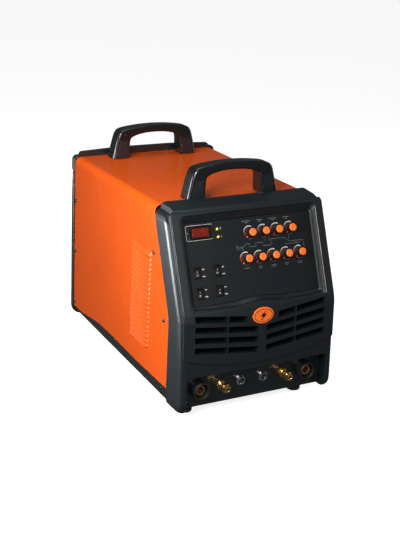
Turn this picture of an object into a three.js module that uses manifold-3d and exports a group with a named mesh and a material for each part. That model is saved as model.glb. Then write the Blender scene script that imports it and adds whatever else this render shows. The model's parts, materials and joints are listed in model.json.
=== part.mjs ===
import * as THREE from "three";
import { mergeVertices } from "three/addons/utils/BufferGeometryUtils.js";
import Module from "manifold-3d";

// Inverter TIG welding machine. Millimetres, +Z up, the front faces -Y.
// Origin: bottom centre of the whole machine, on the plane that its feet stand on.

// ---- driving dimensions ----
const GAP = 0.35;
const COVER_HALF = 170;
const COVER_TOP = 399;
const COVER_LOW = 56;
const COVER_REAR = 258;
const REAR_END = 271.35;
const COVER_ROUND = 16;
const BEZEL_HALF = 173;
const SHEET = 1.5;
const FASCIA_HALF = 171;
const FASCIA_LOW = 22;
const TILT = 0.404;
const KINK_Z = 231;
const KINK_Y = -259;
const BEND_LOW = 208;
const BEND_HIGH = 222;
const BELLY_Y = -266.1;
const BELLY_SLOPE = 0.0537;
const MASK_HALF = 169;
const MASK_RIDGE = 409;
const RECESS_HALF = 148.5;
const RECESS_LOW = -4.5;
const RECESS_HIGH = 174;
const PANEL_DEPTH = 13;
const PANEL_HALF = 138.3;
const PANEL_LOW = 5.8;
const PANEL_HIGH = 161;
const BAY_HALF = 156.4;
const BAY_TOP = 97;
const BAY_BACK = -238;
const SOCKET_Z = 62;
const DINSE_X = 119.8;
const COUPLER_X = 71;
const AVIATION_X = 25.4;
const LOUVRE_COUNT = 20;
const LOUVRE_PITCH = 9.75;
const LOUVRE_LOW = 110;
const FAN_Z = 160;
const REAR_FACE = 253.5;
const PAN_FLOOR = 49;
const HANDLE_DEPTH = 35;
const HANDLE_FRONT = [-130.3, 212];
const KNOB_TOP = { x: [-1, 29, 59, 89], v: 131 };
const KNOB_LOW = { x: [-16, 14, 44, 74, 104], v: 82.5 };
const ROCKERS = [[-123, 68], [-81, 68], [-123, 30], [-81, 30]];
const METER = { x: -105.5, v: 142, halfW: 25, halfH: 12.5, winW: 17.5, winH: 8.4 };
const LAMPS = [[-69.5, 145], [-69.5, 130.4]];
const FEET = [[-126, -203], [126, -203], [-100, 200], [100, 200]];

const wasm = await Module();
wasm.setup();

// ---- joining and cutting ----
function solid(geometry) {
  const g = geometry.clone();
  g.deleteAttribute("normal");
  g.deleteAttribute("uv");
  const m = mergeVertices(g, 1e-4);
  const vertProperties = new Float32Array(m.attributes.position.array);
  const triVerts = new Uint32Array(m.index.array);
  return new wasm.Manifold(new wasm.Mesh({ numProp: 3, vertProperties, triVerts }));
}

function join(...geometries) {
  return geometries.map(solid).reduce((a, b) => a.add(b));
}

function cut(body, ...tools) {
  return tools.reduce((a, t) => a.subtract(solid(t)), body);
}

function shell(manifold) {
  const mesh = manifold.getMesh();
  const g = new THREE.BufferGeometry();
  const step = mesh.numProp;
  const pos = [];
  for (let i = 0; i < mesh.vertProperties.length; i += step) {
    pos.push(mesh.vertProperties[i], mesh.vertProperties[i + 1], mesh.vertProperties[i + 2]);
  }
  g.setAttribute("position", new THREE.Float32BufferAttribute(pos, 3));
  g.setIndex([...mesh.triVerts]);
  return g;
}

// ---- shapes ----
function volume(points, faces) {
  let sum = 0;
  for (const [a, b, c] of faces) {
    const [p, q, r] = [points[a], points[b], points[c]];
    sum += p[0] * (q[1] * r[2] - q[2] * r[1]);
    sum -= p[1] * (q[0] * r[2] - q[2] * r[0]);
    sum += p[2] * (q[0] * r[1] - q[1] * r[0]);
  }
  return sum;
}

// A closed skin through rings of equal length; flat() gives the plane that the end caps lie in.
function loft(rings, flat) {
  const n = rings[0].length;
  const points = rings.flat();
  const faces = [];
  for (let k = 0; k + 1 < rings.length; k += 1) {
    for (let i = 0; i < n; i += 1) {
      const j = (i + 1) % n;
      const [a, b, c, d] = [k * n + i, k * n + j, (k + 1) * n + j, (k + 1) * n + i];
      faces.push([a, b, c], [a, c, d]);
    }
  }
  const outline = rings[0].map((p) => new THREE.Vector2(...flat(p)));
  const area = THREE.ShapeUtils.area(outline);
  const last = rings[rings.length - 1].map((p) => new THREE.Vector2(...flat(p)));
  const lastOff = (rings.length - 1) * n;
  const sign = area > 0 ? 1 : -1;
  const caps = (ring) => {
    const order = sign > 0 ? ring : [...ring].reverse();
    const tris = THREE.ShapeUtils.triangulateShape(order, []);
    return tris.map((t) => t.map((i) => (sign > 0 ? i : n - 1 - i)));
  };
  for (const t of caps(outline)) faces.push(sign > 0 ? [t[2], t[1], t[0]] : [...t]);
  for (const t of caps(last)) {
    const up = t.map((i) => i + lastOff);
    faces.push(sign > 0 ? up : [up[2], up[1], up[0]]);
  }
  const out = volume(points, faces) > 0 ? faces : faces.map((f) => [f[2], f[1], f[0]]);
  const g = new THREE.BufferGeometry();
  g.setAttribute("position", new THREE.Float32BufferAttribute(points.flat(), 3));
  g.setIndex(out.flat());
  return g;
}

const alongX = (outline, a, b) =>
  loft([a, b].map((x) => outline.map(([y, z]) => [x, y, z])), (p) => [p[1], p[2]]);
const alongY = (outline, a, b) =>
  loft([a, b].map((y) => outline.map(([x, z]) => [x, y, z])), (p) => [p[0], p[2]]);
const alongZ = (outline, a, b) =>
  loft([a, b].map((z) => outline.map(([x, y]) => [x, y, z])), (p) => [p[0], p[1]]);
const box = (x0, x1, y0, y1, z0, z1) => alongZ([[x0, y0], [x1, y0], [x1, y1], [x0, y1]], z0, z1);

function arc(cx, cy, r, from, to, steps) {
  return Array.from({ length: steps + 1 }, (_, i) => {
    const t = THREE.MathUtils.degToRad(from + ((to - from) * i) / steps);
    return [cx + r * Math.cos(t), cy + r * Math.sin(t)];
  });
}

function circle(cx, cy, r, steps, start = 0) {
  return arc(cx, cy, r, start, start + 360, steps).slice(0, -1);
}

function roundBox(x0, x1, y0, y1, r, steps = 3) {
  return [
    ...arc(x1 - r, y1 - r, r, 0, 90, steps), ...arc(x0 + r, y1 - r, r, 90, 180, steps),
    ...arc(x0 + r, y0 + r, r, 180, 270, steps), ...arc(x1 - r, y0 + r, r, 270, 360, steps),
  ];
}

const mirrored = (half) => [...half, ...half.map(([x, y]) => [-x, y]).reverse()];

// A turned part on the local Z axis, from [radius, height] pairs in either direction.
function turned(profile, segments = 24) {
  const twist = profile.reduce((sum, [r, h], i) => {
    const [q, k] = profile[(i + 1) % profile.length];
    return sum + r * k - q * h;
  }, 0);
  const outline = twist > 0 ? profile : [...profile].reverse();
  const g = new THREE.LatheGeometry(outline.map(([r, h]) => new THREE.Vector2(r, h)), segments);
  g.rotateX(Math.PI / 2);
  return g;
}

function pipe(inner, outer, low, high, segments = 24) {
  return turned([[inner, low], [outer, low], [outer, high], [inner, high], [inner, low]], segments);
}

// Local Z pointing to the front, the rear or out of the tilted panel.
const facingFront = (x, y, z) => new THREE.Matrix4().makeRotationX(Math.PI / 2).setPosition(x, y, z);
const facingRear = (x, y, z) => new THREE.Matrix4().makeRotationX(-Math.PI / 2).setPosition(x, y, z);
const SLANT = Math.atan(TILT);

function onPanel(x, v, h) {
  const c = Math.cos(SLANT);
  const s = Math.sin(SLANT);
  const n = h - PANEL_DEPTH;
  const m = new THREE.Matrix4().makeRotationX(Math.PI / 2 - SLANT);
  return m.setPosition(x, KINK_Y + v * s - n * c, KINK_Z + v * c + n * s);
}

// ---- front surface of the fascia ----
// Middle of the front: a sloping face above a short bend, and a nearly upright belly below it.
function maskY(z) {
  if (z >= BEND_HIGH) return KINK_Y + (z - KINK_Z) * TILT;
  if (z <= BEND_LOW) return BELLY_Y - (BEND_LOW - z) * BELLY_SLOPE;
  const top = KINK_Y + (BEND_HIGH - KINK_Z) * TILT;
  return BELLY_Y + ((top - BELLY_Y) * (z - BEND_LOW)) / (BEND_HIGH - BEND_LOW);
}

function seamY(z) {
  const slope = (level) => -199.5 + (level - 215) * TILT;
  if (z >= 206) return slope(z);
  return -205.5 + Math.max(0, (z - 185) / 21) * (slope(206) + 205.5);
}

// One level of the shell: nearly square cornered low down, broadly rounded above the bend.
function bodyRing(z, half, front, rear) {
  const tight = [[0, 16], [0.2, 12], [0.6, 9], [2, 4], [4.5, 1.2], [8.5, 0]];
  const broad = [[0, 21], [0.7, 15.5], [2.7, 11], [5.6, 7], [10, 3.7], [16, 1.4]];
  const t = THREE.MathUtils.clamp((z - 150) / (BEND_HIGH - 150), 0, 1);
  const corner = tight.map(([x, y], i) => {
    const [wide, deep] = broad[i];
    return [half - x - t * (wide - x), front + y + t * (deep - y)];
  });
  const side = [[half, rear], ...corner, [100, front - 2.2], [50, front - 3.3]];
  return mirrored(side).map(([x, y]) => [x, y, z]);
}

const BODY_LEVELS = [
  [FASCIA_LOW, 162, 20], [24.5, 167, 11], [30, 169.8, 4.5], [38, 170.8, 1], [46, FASCIA_HALF, 0],
  [110, FASCIA_HALF, 0], [150, FASCIA_HALF, 0], [185, FASCIA_HALF, 0], [206, FASCIA_HALF, 0],
  [BEND_LOW, FASCIA_HALF, 0], [BEND_HIGH, FASCIA_HALF, 0], [377, FASCIA_HALF, 0],
  [387, 167.4, 4], [391.5, 163, 9], [393.5, 158, 16],
];

function fasciaBody(inset) {
  const rings = BODY_LEVELS.map(([z, half, back]) => {
    const front = maskY(Math.max(z, 46)) + 7 + back;
    const rear = seamY(z) + (inset > 0 ? 12 : 0);
    const level = inset > 0 ? THREE.MathUtils.clamp(z, FASCIA_LOW + inset, 393.5 - inset) : z;
    return bodyRing(level, half - inset, front + inset, rear);
  });
  return loft(rings.filter((r, i) => i === 0 || r[0][2] > rings[i - 1][0][2]), (p) => [p[0], p[1]]);
}

// The hollow inside the shell; the pillars beside the connector bay stay solid.
function fasciaHollow() {
  const pillars = [-1, 1].map((s) => box(s > 0 ? 150 : -180, s > 0 ? 180 : -150, -300, -100, 0, 98));
  return cut(solid(fasciaBody(3.5)), ...pillars);
}

function maskOutline() {
  const half = MASK_HALF;
  const smile = [0, 0.2, 0.4, 0.6, 0.8, 0.93].map((t) => [t * 158, 110.5 + 21 * t * t]);
  const corner = [[half - 8, 131.5], [half - 2, 136.5], [half, 143]];
  const crown = [[half, 384], [half - 2, 394], [half - 6, 400], [half - 12, 404.5], [152, 411]];
  return mirrored([...smile, ...corner, ...crown].slice(1)).concat([smile[0]]).reverse();
}

// Section of the mask: front, crown and back.
function maskSection() {
  const front = [105, BEND_LOW, BEND_HIGH, 394].map((z) => [maskY(z), z]);
  const crown = [[-190.5, 398.5], [-185, 401.8], [-171, 405], [-160, 407.6], [-152, MASK_RIDGE],
    [-147, MASK_RIDGE], [-137, 404]];
  const behind = [[-134, 391], [-178, 391], [maskY(386) + 12, 386]];
  const under = [[maskY(BEND_HIGH) + 12, 220], [maskY(BEND_LOW) + 12, 206], [maskY(105) + 12, 105]];
  return [...front, ...crown, ...behind, ...under];
}

// How far the front stands back from its middle: a shallow bow, then a step at the edges.
const BOW = [[172, 11], [168, 10.8], [167.3, 4.4], [125, 2.4], [85, 1.1], [45, 0.3]];

function mask() {
  const stations = [...BOW.map(([x, back]) => [-x, back]), [0, 0], ...[...BOW].reverse()];
  const rings = stations.map(([x, back]) => maskSection().map(([y, z]) => [x, y + back, z]));
  const bowed = solid(loft(rings, (p) => [p[1], p[2]]));
  const ends = [box(158, 190, -184, -100, 370, 430), box(-190, -158, -184, -100, 370, 430)];
  return cut(solid(alongY(maskOutline(), -300, -100)).intersect(bowed), ...ends);
}

function hump(x) {
  return Math.abs(x) < 60 ? 2.6 * (1 + Math.cos((Math.PI * x) / 60)) : 0;
}

// Outline of the panel recess in panel coordinates, with the low wave over the badge.
function recessOutline(half, low, high, r) {
  const wave = [-60, -45, -30, -15, 0, 15, 30, 45, 60].map((x) => [x, low + hump(x)]);
  return [
    ...wave, ...arc(half - r / 2, low + r / 2, r / 2, 270, 360, 2),
    ...arc(half - r, high - r, r, 0, 90, 3), ...arc(-half + r, high - r, r, 90, 180, 3),
    ...arc(-half + r / 2, low + r / 2, r / 2, 180, 270, 2),
  ];
}

function panelLoft(stations) {
  const rings = stations.map(([outline, h]) => outline.map(([x, v]) => [x, v, h]));
  return loft(rings, (p) => [p[0], p[1]]).applyMatrix4(onPanel(0, 0, 0));
}

function recess() {
  const mouth = recessOutline(RECESS_HALF, RECESS_LOW, RECESS_HIGH, 9);
  const floor = recessOutline(PANEL_HALF, PANEL_LOW, PANEL_HIGH, 6);
  return panelLoft([[mouth, 40], [mouth, 9.5], [floor, 0], [floor, -40]]);
}

function grilleSlots() {
  const slots = [];
  for (const side of [-1, 1]) {
    for (let row = 0; row < 4; row += 1) {
      const inner = row === 3 ? 35 : 9.5;
      for (const [a, b] of [[inner, 74], [76.4, 144]]) {
        const mid = (x) => 136.2 + 20.3 * row + 0.113 * x;
        const shape = [[a, mid(a) - 6], [b, mid(b) - 6], [b, mid(b) + 6], [a, mid(a) + 6]];
        slots.push(alongY(shape.map(([x, z]) => [side * x, z]), -300, -240));
      }
    }
  }
  return slots;
}

function bayOutline(half, top, r) {
  return mirrored([[half, 5], ...arc(half - r, top - r, r, 0, 90, 3)]);
}

function frontFascia() {
  const shellBody = solid(fasciaBody(0)).subtract(fasciaHollow());
  const recessWall = box(-153, 153, -12, 179, -4, 8);
  recessWall.applyMatrix4(onPanel(0, 0, 0));
  const bayWall = alongY(bayOutline(BAY_HALF + 4, BAY_TOP + 3.5, 11), -262, BAY_BACK + 3);
  const lowTrim = box(-200, 200, -300, -150, 0, FASCIA_LOW + 2);
  let body = shellBody.add(mask()).add(solid(recessWall));
  body = body.add(solid(bayWall).subtract(solid(lowTrim)));
  body = cut(body, recess(), alongY(bayOutline(BAY_HALF, BAY_TOP, 9), -300, BAY_BACK));
  body = cut(body, ...grilleSlots());
  const holes = [];
  for (const s of [-1, 1]) {
    for (const [x, r] of [[DINSE_X, 10.8], [COUPLER_X, 5.4], [AVIATION_X, 8.2]]) {
      holes.push(alongY(circle(s * x, SOCKET_Z, r, 16), -245, -230));
    }
    holes.push(alongZ(circle(FEET[s < 0 ? 0 : 1][0], FEET[0][1], 18.5, 20), 0, PAN_FLOOR));
  }
  const seat = badgeSlab(24.2, 16.7, -4, 1.6);
  return shell(cut(body, ...holes, seat));
}

function badgeSlab(rx, rz, from, to) {
  const tilt = 0.105;
  const g = alongZ(circle(0, 0, 1, 28).map(([x, y]) => [x * rx, y * rz]), -to, -from);
  g.applyMatrix4(new THREE.Matrix4().makeRotationX(Math.PI / 2 - tilt));
  return g.translate(0, maskY(204) + 0.4, 204);
}

// ---- housing ----
function coverOutline(half, top, r, low) {
  return [[half, low], ...arc(half - r, top - r, r, 0, 90, 5)];
}

function louvre(side, z) {
  const x = side * COVER_HALF;
  const out = side * 3;
  return alongY([[x - side, z + 7.4], [x, z + 7.4], [x + out, z + 1.4], [x + out, z], [x - side, z]],
    -118, -38);
}

function outerCover() {
  const outer = coverOutline(COVER_HALF, COVER_TOP, COVER_ROUND, COVER_LOW);
  const inner = coverOutline(COVER_HALF - SHEET, COVER_TOP - SHEET, COVER_ROUND - SHEET, COVER_LOW);
  const section = [...mirrored(outer), ...mirrored(inner).reverse()];
  let body = solid(alongY(section, -240, COVER_REAR));
  const levels = [0, 185, 206, 430];
  const ahead = alongX([[-400, 0], ...levels.map((z) => [seamY(z) + GAP, z]), [-400, 430]], -200, 200);
  body = cut(body, ahead);
  for (const side of [-1, 1]) {
    for (let i = 0; i < LOUVRE_COUNT; i += 1) {
      body = body.add(solid(louvre(side, LOUVRE_LOW + i * LOUVRE_PITCH)));
    }
  }
  return shell(body);
}

function basePan() {
  const half = COVER_HALF - SHEET - 0.6;
  const floor = PAN_FLOOR;
  const section = [
    [half, 26], [half, 80], [half - SHEET, 80], [half - SHEET, floor + SHEET],
    [-half + SHEET, floor + SHEET], [-half + SHEET, 80], [-half, 80], [-half, 26],
    [-half + SHEET, 26], [-half + SHEET, floor], [half - SHEET, floor], [half - SHEET, 26],
  ];
  const taper = alongX([[-210, 31], [257, floor], [257, 10], [-210, 10]], -200, 200);
  const tabs = FEET.slice(0, 2).map(([x, y]) => box(x - 19, x + 19, y - 19, -203, floor, floor + SHEET));
  return shell(tabs.reduce((a, g) => a.add(solid(g)), cut(solid(alongY(section, -204, 251.5)), taper)));
}

function rearOutline(inset) {
  const half = BEZEL_HALF - inset;
  const foot = [[20, 34.5], [14.5, 35.5], [8.4, 39], [4.5, 45], [0, 56]];
  const head = [[0, 388.9], [1, 396.8], [4, 399.9], [8, 401.8], [12.7, 402.6], [16.5, 408.1], [20, 409.4]];
  return mirrored([
    ...foot.map(([x, z]) => [half - x, z + inset]), ...head.map(([x, z]) => [half - x, z - inset]),
    [119, 410.8 - inset], [60, 413 - inset],
  ]);
}

function rearBezel() {
  const wide = rearOutline(0);
  const narrow = rearOutline(3);
  const at = (ring, y) => ring.map(([x, z]) => [x, y, z]);
  const rings = [at(wide, COVER_REAR + GAP), at(wide, REAR_END - 4), at(narrow, REAR_END)];
  const skin = loft(rings, (p) => [p[0], p[2]]);
  const opening = alongY(roundBox(-147, 147, 64, 378, 14), 240, 300);
  return shell(cut(solid(skin), opening));
}

function rearPanel() {
  const plate = alongY(roundBox(-165.5, 165.5, 48, 396.6, 13), REAR_FACE - SHEET, REAR_FACE);
  const holes = [
    alongY(circle(0, FAN_Z, 69, 28), 240, 260), alongY(circle(-95, 320, 8, 12), 240, 260),
    alongY(circle(95, 330, 11.2, 14), 240, 260), alongY(circle(95, 275, 5.4, 10), 240, 260),
    alongY(circle(-118, 262, 4.5, 10), 240, 260),
  ];
  return shell(cut(solid(plate), ...holes));
}

function rubberFoot(x, y) {
  const top = PAN_FLOOR - GAP;
  const g = turned([[0, 0], [13, 0], [14.4, 1.4], [16.5, 40], [16.5, top], [0, top]], 20);
  return g.translate(x, y, 0);
}

function handle(front) {
  const outer = [[100, 0], [99, 6], [94, 30], [88.5, 50], [83.5, 58.5], [76, 62.5], [60, 65.5], [30, 68.6]];
  const inner = [[22, 53], [40, 50], [52, 46], [58.5, 40.5], [60.5, 24], [61.7, 0]];
  const flip = (half) => [...half].reverse().map(([x, z]) => [-x, z]);
  const outline = [...outer, [0, 69.6], ...flip(outer), ...flip(inner), [0, 54], ...inner];
  const lift = COVER_TOP + GAP;
  const ring = (y, k) => outline.map(([x, z]) => [x, y + (z / 70) * k, z + lift]);
  return loft([ring(front, 2.5), ring(front + HANDLE_DEPTH, -2.5)], (p) => [p[0], p[2]]);
}

// ---- control panel ----
function controlPanel() {
  const outline = recessOutline(PANEL_HALF - GAP, PANEL_LOW + GAP, PANEL_HIGH - GAP, 5.6);
  let plate = solid(panelLoft([[outline, 0], [outline, -2]]));
  for (const [x, v] of ROCKERS) {
    plate = cut(plate, panelLoft([[roundBox(x - 7.6, x + 7.6, v - 10.4, v + 10.4, 0.8, 1), 5],
      [roundBox(x - 7.6, x + 7.6, v - 10.4, v + 10.4, 0.8, 1), -9]]));
  }
  const { x, v, winW, winH } = METER;
  const window = roundBox(x - winW, x + winW, v - winH, v + winH, 1, 1);
  return shell(cut(plate, panelLoft([[window, 5], [window, -9]])));
}

function displayBezel() {
  const { x, v, halfW, halfH, winW, winH } = METER;
  const rim = roundBox(x - halfW, x + halfW, v - halfH, v + halfH, 3);
  const hole = roundBox(x - winW, x + winW, v - winH, v + winH, 1, 1);
  return shell(cut(solid(panelLoft([[rim, GAP], [rim, 2.4]])), panelLoft([[hole, -3], [hole, 6]])));
}

function displayWindow() {
  const { x, v, winW, winH } = METER;
  const pane = roundBox(x - winW + GAP, x + winW - GAP, v - winH + GAP, v + winH - GAP, 1, 1);
  return panelLoft([[pane, 0.2], [pane, 1.7]]);
}

function lamp(x, v) {
  const g = turned([[0, 0], [3.2, 0], [3.2, 0.9], [2.5, 1.1], [2.5, 2], [1.5, 3.2], [0, 3.6]], 16);
  return g.applyMatrix4(onPanel(x, v, GAP));
}

function knob(x, v, turn) {
  const body = turned([[0, 0], [9.2, 0], [9.2, 1.6], [7.6, 2.6], [7.4, 14.6], [6.8, 15.5], [0, 15.5]], 18);
  const pointer = box(-0.9, 0.9, 6.5, 10.6, 0.3, 2.1);
  const g = shell(join(body, pointer));
  g.rotateZ(THREE.MathUtils.degToRad(turn));
  return g.applyMatrix4(onPanel(x, v, GAP + 0.1));
}

function rockerHousing(x, v) {
  const rim = roundBox(-8.2, 8.2, -11.4, 11.4, 1.2, 2);
  const body = roundBox(-7.1, 7.1, -10, 10, 0.5, 1);
  const well = roundBox(-5.9, 5.9, -8.8, 8.8, 0.4, 1);
  const at = (outline, h) => outline.map(([a, b]) => [a, b, h]);
  const flat = (p) => [p[0], p[1]];
  const block = join(loft([at(rim, GAP), at(rim, 1.7)], flat), loft([at(body, -13), at(body, 1)], flat));
  return shell(cut(block, loft([at(well, -11), at(well, 5)], flat))).applyMatrix4(onPanel(x, v, 0));
}

// The rocker swings about a pin below the rim, and rests with its lower end pushed in.
function rocker(x, v) {
  const outline = [[-8.1, 2.6], [0, 0.9], [8.1, 2.6], [8.1, -1.8], [3, -7], [-3, -7], [-8.1, -1.8]];
  const g = alongX(outline, -5.5, 5.5);
  g.rotateX(THREE.MathUtils.degToRad(9));
  return g.applyMatrix4(onPanel(x, v, 0));
}

// ---- connector bay ----
function dinseInsulator(x) {
  const g = turned([[10.8, 0], [17.9, 0], [17.9, 19.4], [16.8, 20.6], [14.2, 20.6], [14.2, 4], [10.8, 4],
    [10.8, 0]], 24);
  return g.applyMatrix4(facingFront(x, BAY_BACK - GAP, SOCKET_Z));
}

function dinseInsert(x) {
  const tube = turned([[0, 2], [6.6, 2], [6.6, 26.2], [7.2, 27], [10, 27], [10, 0], [0, 0]], 24);
  const key = box(-2, 2, 5.8, 8, 14, 30);
  const body = cut(solid(tube), key);
  return shell(body).applyMatrix4(facingFront(x, BAY_BACK + 14, SOCKET_Z));
}

function couplerBody(x) {
  const hex = turned([[0, 0], [10.2, 0], [10.2, 7], [9.4, 7.8], [0, 7.8]], 6);
  const barrel = turned([[0, -10], [4.9, -10], [4.9, 3], [6.4, 7], [6.4, 25], [5.2, 27], [6.6, 28.4],
    [6.6, 31.8], [0, 31.8]], 16);
  const bore = turned([[0, 13], [2.8, 13], [2.8, 40], [0, 40]], 12);
  return shell(cut(join(hex, barrel), bore)).applyMatrix4(facingFront(x, BAY_BACK - GAP, SOCKET_Z));
}

function couplerCollar(x) {
  const g = turned([[6.75, 0], [8.6, 0], [8.6, 4], [8, 5.8], [8.6, 7.6], [8.6, 11.6], [6.75, 11.6],
    [6.75, 0]], 18);
  return g.applyMatrix4(facingFront(x, BAY_BACK - 14.4, SOCKET_Z));
}

function controlSocket(x) {
  const flange = turned([[0, 0], [9.7, 0], [9.7, 3.4], [8, 3.4], [8, 7.2], [0, 7.2]], 18);
  const shank = turned([[0, -12], [7.8, -12], [7.8, 1], [0, 1]], 18);
  const hollow = turned([[0, 1.4], [6.2, 1.4], [6.2, 12], [0, 12]], 18);
  const pins = [[0, 2.6], [-2.4, -1.6], [2.4, -1.6]].map(([a, b]) => {
    return turned([[0, 0], [0.8, 0], [0.8, 6], [0, 6]], 6).translate(a, b, 0);
  });
  const body = cut(join(flange, shank), hollow);
  const pinned = pins.reduce((a, p) => a.add(solid(p)), body);
  return shell(pinned).applyMatrix4(facingFront(x, BAY_BACK - GAP, SOCKET_Z));
}

// ---- rear fittings ----
function fanFrame() {
  const plate = alongY(roundBox(-75, 75, FAN_Z - 75, FAN_Z + 75, 8), 214, REAR_FACE - SHEET - GAP);
  const waist = [-1, 1].flatMap((s) => [
    box(s > 0 ? 58 : -90, s > 0 ? 90 : -58, 219, 246, FAN_Z - 52, FAN_Z + 52),
    box(-52, 52, 219, 246, FAN_Z + (s > 0 ? 73 : -90), FAN_Z + (s > 0 ? 90 : -73)),
  ]);
  const duct = alongY(circle(0, FAN_Z, 69, 28), 200, 260);
  const wall = solid(alongY(circle(0, FAN_Z, 72.5, 28), 216, 250));
  const frame = cut(cut(solid(plate), ...waist).add(wall), duct);
  const spokes = [20, 110, 200, 290].map((a) => {
    const arm = box(20, 70.5, 215, 218, -3, 3);
    return arm.rotateY(THREE.MathUtils.degToRad(a)).translate(0, 0, FAN_Z);
  });
  const hub = alongY(circle(0, FAN_Z, 24, 16), 215, 221);
  return shell([...spokes, hub].reduce((a, g) => a.add(solid(g)), frame));
}

function fanRotor() {
  const hub = alongY(circle(0, 0, 27, 24), 222, 247);
  const blades = Array.from({ length: 7 }, (_, i) => {
    const root = [[-9, 224], [-7.6, 224], [9, 245], [7.6, 245]];
    const tip = [[-15, 226.5], [-13.4, 226.5], [15, 243.5], [13.4, 243.5]];
    const at = (ring, z) => ring.map(([x, y]) => [x, y, z]);
    const g = loft([at(root, 20), at(tip, 66)], (p) => [p[0], p[1]]);
    return g.rotateY((2 * Math.PI * i) / 7);
  });
  return shell(join(hub, ...blades)).translate(0, 0, FAN_Z);
}

function fanGuard() {
  const y0 = REAR_FACE + GAP;
  const rings = [20, 38, 56, 74].map((r) => {
    const hole = solid(alongY(circle(0, FAN_Z, r - 1.3, 20), y0 - 2, y0 + 8));
    return solid(alongY(circle(0, FAN_Z, r + 1.3, 20), y0 + 3, y0 + 5.6)).subtract(hole);
  });
  const arms = [45, 135].map((a) => {
    return solid(box(-92, 92, y0 + 1.4, y0 + 4, -1.4, 1.4)
      .rotateY(THREE.MathUtils.degToRad(a)).translate(0, 0, FAN_Z));
  });
  const ends = [45, 135, 225, 315].map((a) => {
    return solid(box(86, 96, y0, y0 + 4, -4.5, 4.5)
      .rotateY(THREE.MathUtils.degToRad(a)).translate(0, 0, FAN_Z));
  });
  return shell([...rings, ...arms, ...ends].reduce((p, q) => p.add(q)));
}

function mainsSwitchBody() {
  const plate = alongY(roundBox(-24, 24, -24, 24, 3), 0, 4);
  const stem = alongY(circle(0, 0, 7.4, 16), -20, 1);
  const block = box(-20, 20, -42, -2 - SHEET, -20, 20);
  return shell(join(plate, stem, block)).translate(-95, REAR_FACE + GAP, 320);
}

function mainsSwitchKnob() {
  const disc = turned([[0, 0], [17, 0], [17, 2.4], [15.6, 3.2], [0, 3.2]], 24);
  const grip = box(-4.2, 4.2, -15, 15, 2.4, 12.6);
  return shell(join(disc, grip)).applyMatrix4(facingRear(-95, REAR_FACE + 4 + 2 * GAP, 320));
}

function gasInlet() {
  const hex = turned([[0, 0], [9.2, 0], [9.2, 5.6], [8.4, 6.2], [0, 6.2]], 6);
  const spud = turned([[0, -16], [5, -16], [5, 2], [6.2, 6], [6.2, 16.2], [0, 16.2]], 14);
  const bore = turned([[0, 4], [3, 4], [3, 30], [0, 30]], 10);
  return shell(cut(join(hex, spud), bore)).applyMatrix4(facingRear(95, REAR_FACE + GAP, 275));
}

function cableGland() {
  const base = turned([[0, 0], [16, 0], [16, 5], [15, 5.8], [0, 5.8]], 6);
  const dome = turned([[0, -12], [10.8, -12], [10.8, 2], [14.4, 5], [14.4, 12], [12.6, 16.4], [0, 16.4]],
    18);
  const bore = turned([[0, -13], [6.5, -13], [6.5, 20], [0, 20]], 14);
  return shell(cut(join(base, dome), bore)).applyMatrix4(facingRear(95, REAR_FACE + GAP, 330));
}

function earthStud() {
  const nut = turned([[0, 0], [7.5, 0], [7.5, 6], [0, 6]], 6);
  const bolt = turned([[0, -10], [4, -10], [4, 14.6], [3.2, 15.4], [0, 15.4]], 12);
  return shell(join(nut, bolt)).applyMatrix4(facingRear(-118, REAR_FACE + GAP, 262));
}

// ---- inside ----
function deckPlate() {
  const outline = [
    [150, 51], [150, 52.5], [131.5, 52.5], [131.5, 207.5], [-131.5, 207.5], [-131.5, 52.5],
    [-150, 52.5], [-150, 51], [-130, 51], [-130, 206], [130, 206], [130, 51],
  ];
  return alongY(outline, -150, 195);
}

function heatsink() {
  const fins = [[-110, 198]];
  for (let i = 0; i < 12; i += 1) {
    const x = -110 + i * 19.6;
    fins.push([x, 130], [x + 4.4, 130]);
    if (i < 11) fins.push([x + 4.4, 190], [x + 19.6, 190]);
  }
  fins.push([110, 198]);
  return alongY(fins, -110, 120);
}

function mainTransformer() {
  const core = cut(join(box(-42, 42, 40, 140, 54, 118)), box(-24, 24, 20, 160, 70, 102));
  const coil = box(-50, 50, 58, 122, 66, 106);
  const foot = box(-60, 60, 62, 118, 51, 56);
  return shell(core.add(solid(coil)).add(solid(foot)));
}

function outputInductor() {
  const ring = pipe(20, 52, 0, 44, 20);
  const foot = box(-58, 58, -18, 18, -3, 3);
  return shell(join(ring, foot)).translate(0, -70, 54.2);
}

function inverterBoard() {
  const plate = box(-118, 118, -60, 150, 218, 220);
  const posts = [[-108, -50], [108, -50], [-108, 140], [108, 140]].map(([x, y]) => {
    return turned([[0, 207.9], [4, 207.9], [4, 219], [0, 219]], 8).translate(x, y, 0);
  });
  const cans = [[-70, 20], [-70, 80], [-10, 20], [-10, 80]].map(([x, y]) => {
    return turned([[0, 219], [17.5, 219], [17.5, 264], [0, 264]], 14).translate(x, y, 0);
  });
  const choke = box(50, 95, 10, 90, 219, 258);
  return shell(join(plate, ...posts, ...cans, choke));
}

function controlBoard() {
  const plate = box(-118, 118, 22, 150, -34, -32.4);
  const posts = [[-112, 28], [112, 28], [-112, 110], [112, 144]].map(([x, v]) => {
    return turned([[0, -33], [3.4, -33], [3.4, -2.4], [0, -2.4]], 8).translate(x, v, 0);
  });
  const chips = [[-60, 60], [10, 70], [70, 50]].map(([x, v]) => {
    return box(x - 14, x + 14, v - 12, v + 12, -42, -33);
  });
  return shell(join(plate, ...posts, ...chips)).applyMatrix4(onPanel(0, 0, 0));
}

function gasValve() {
  const block = box(78, 112, 168, 206, 208, 240);
  const coil = turned([[0, 238], [14, 238], [14, 270], [12, 272], [0, 272]], 18).translate(95, 187, 0);
  const port = box(90, 100, 204, 232, 214, 226);
  return shell(join(block, coil, port));
}

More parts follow.
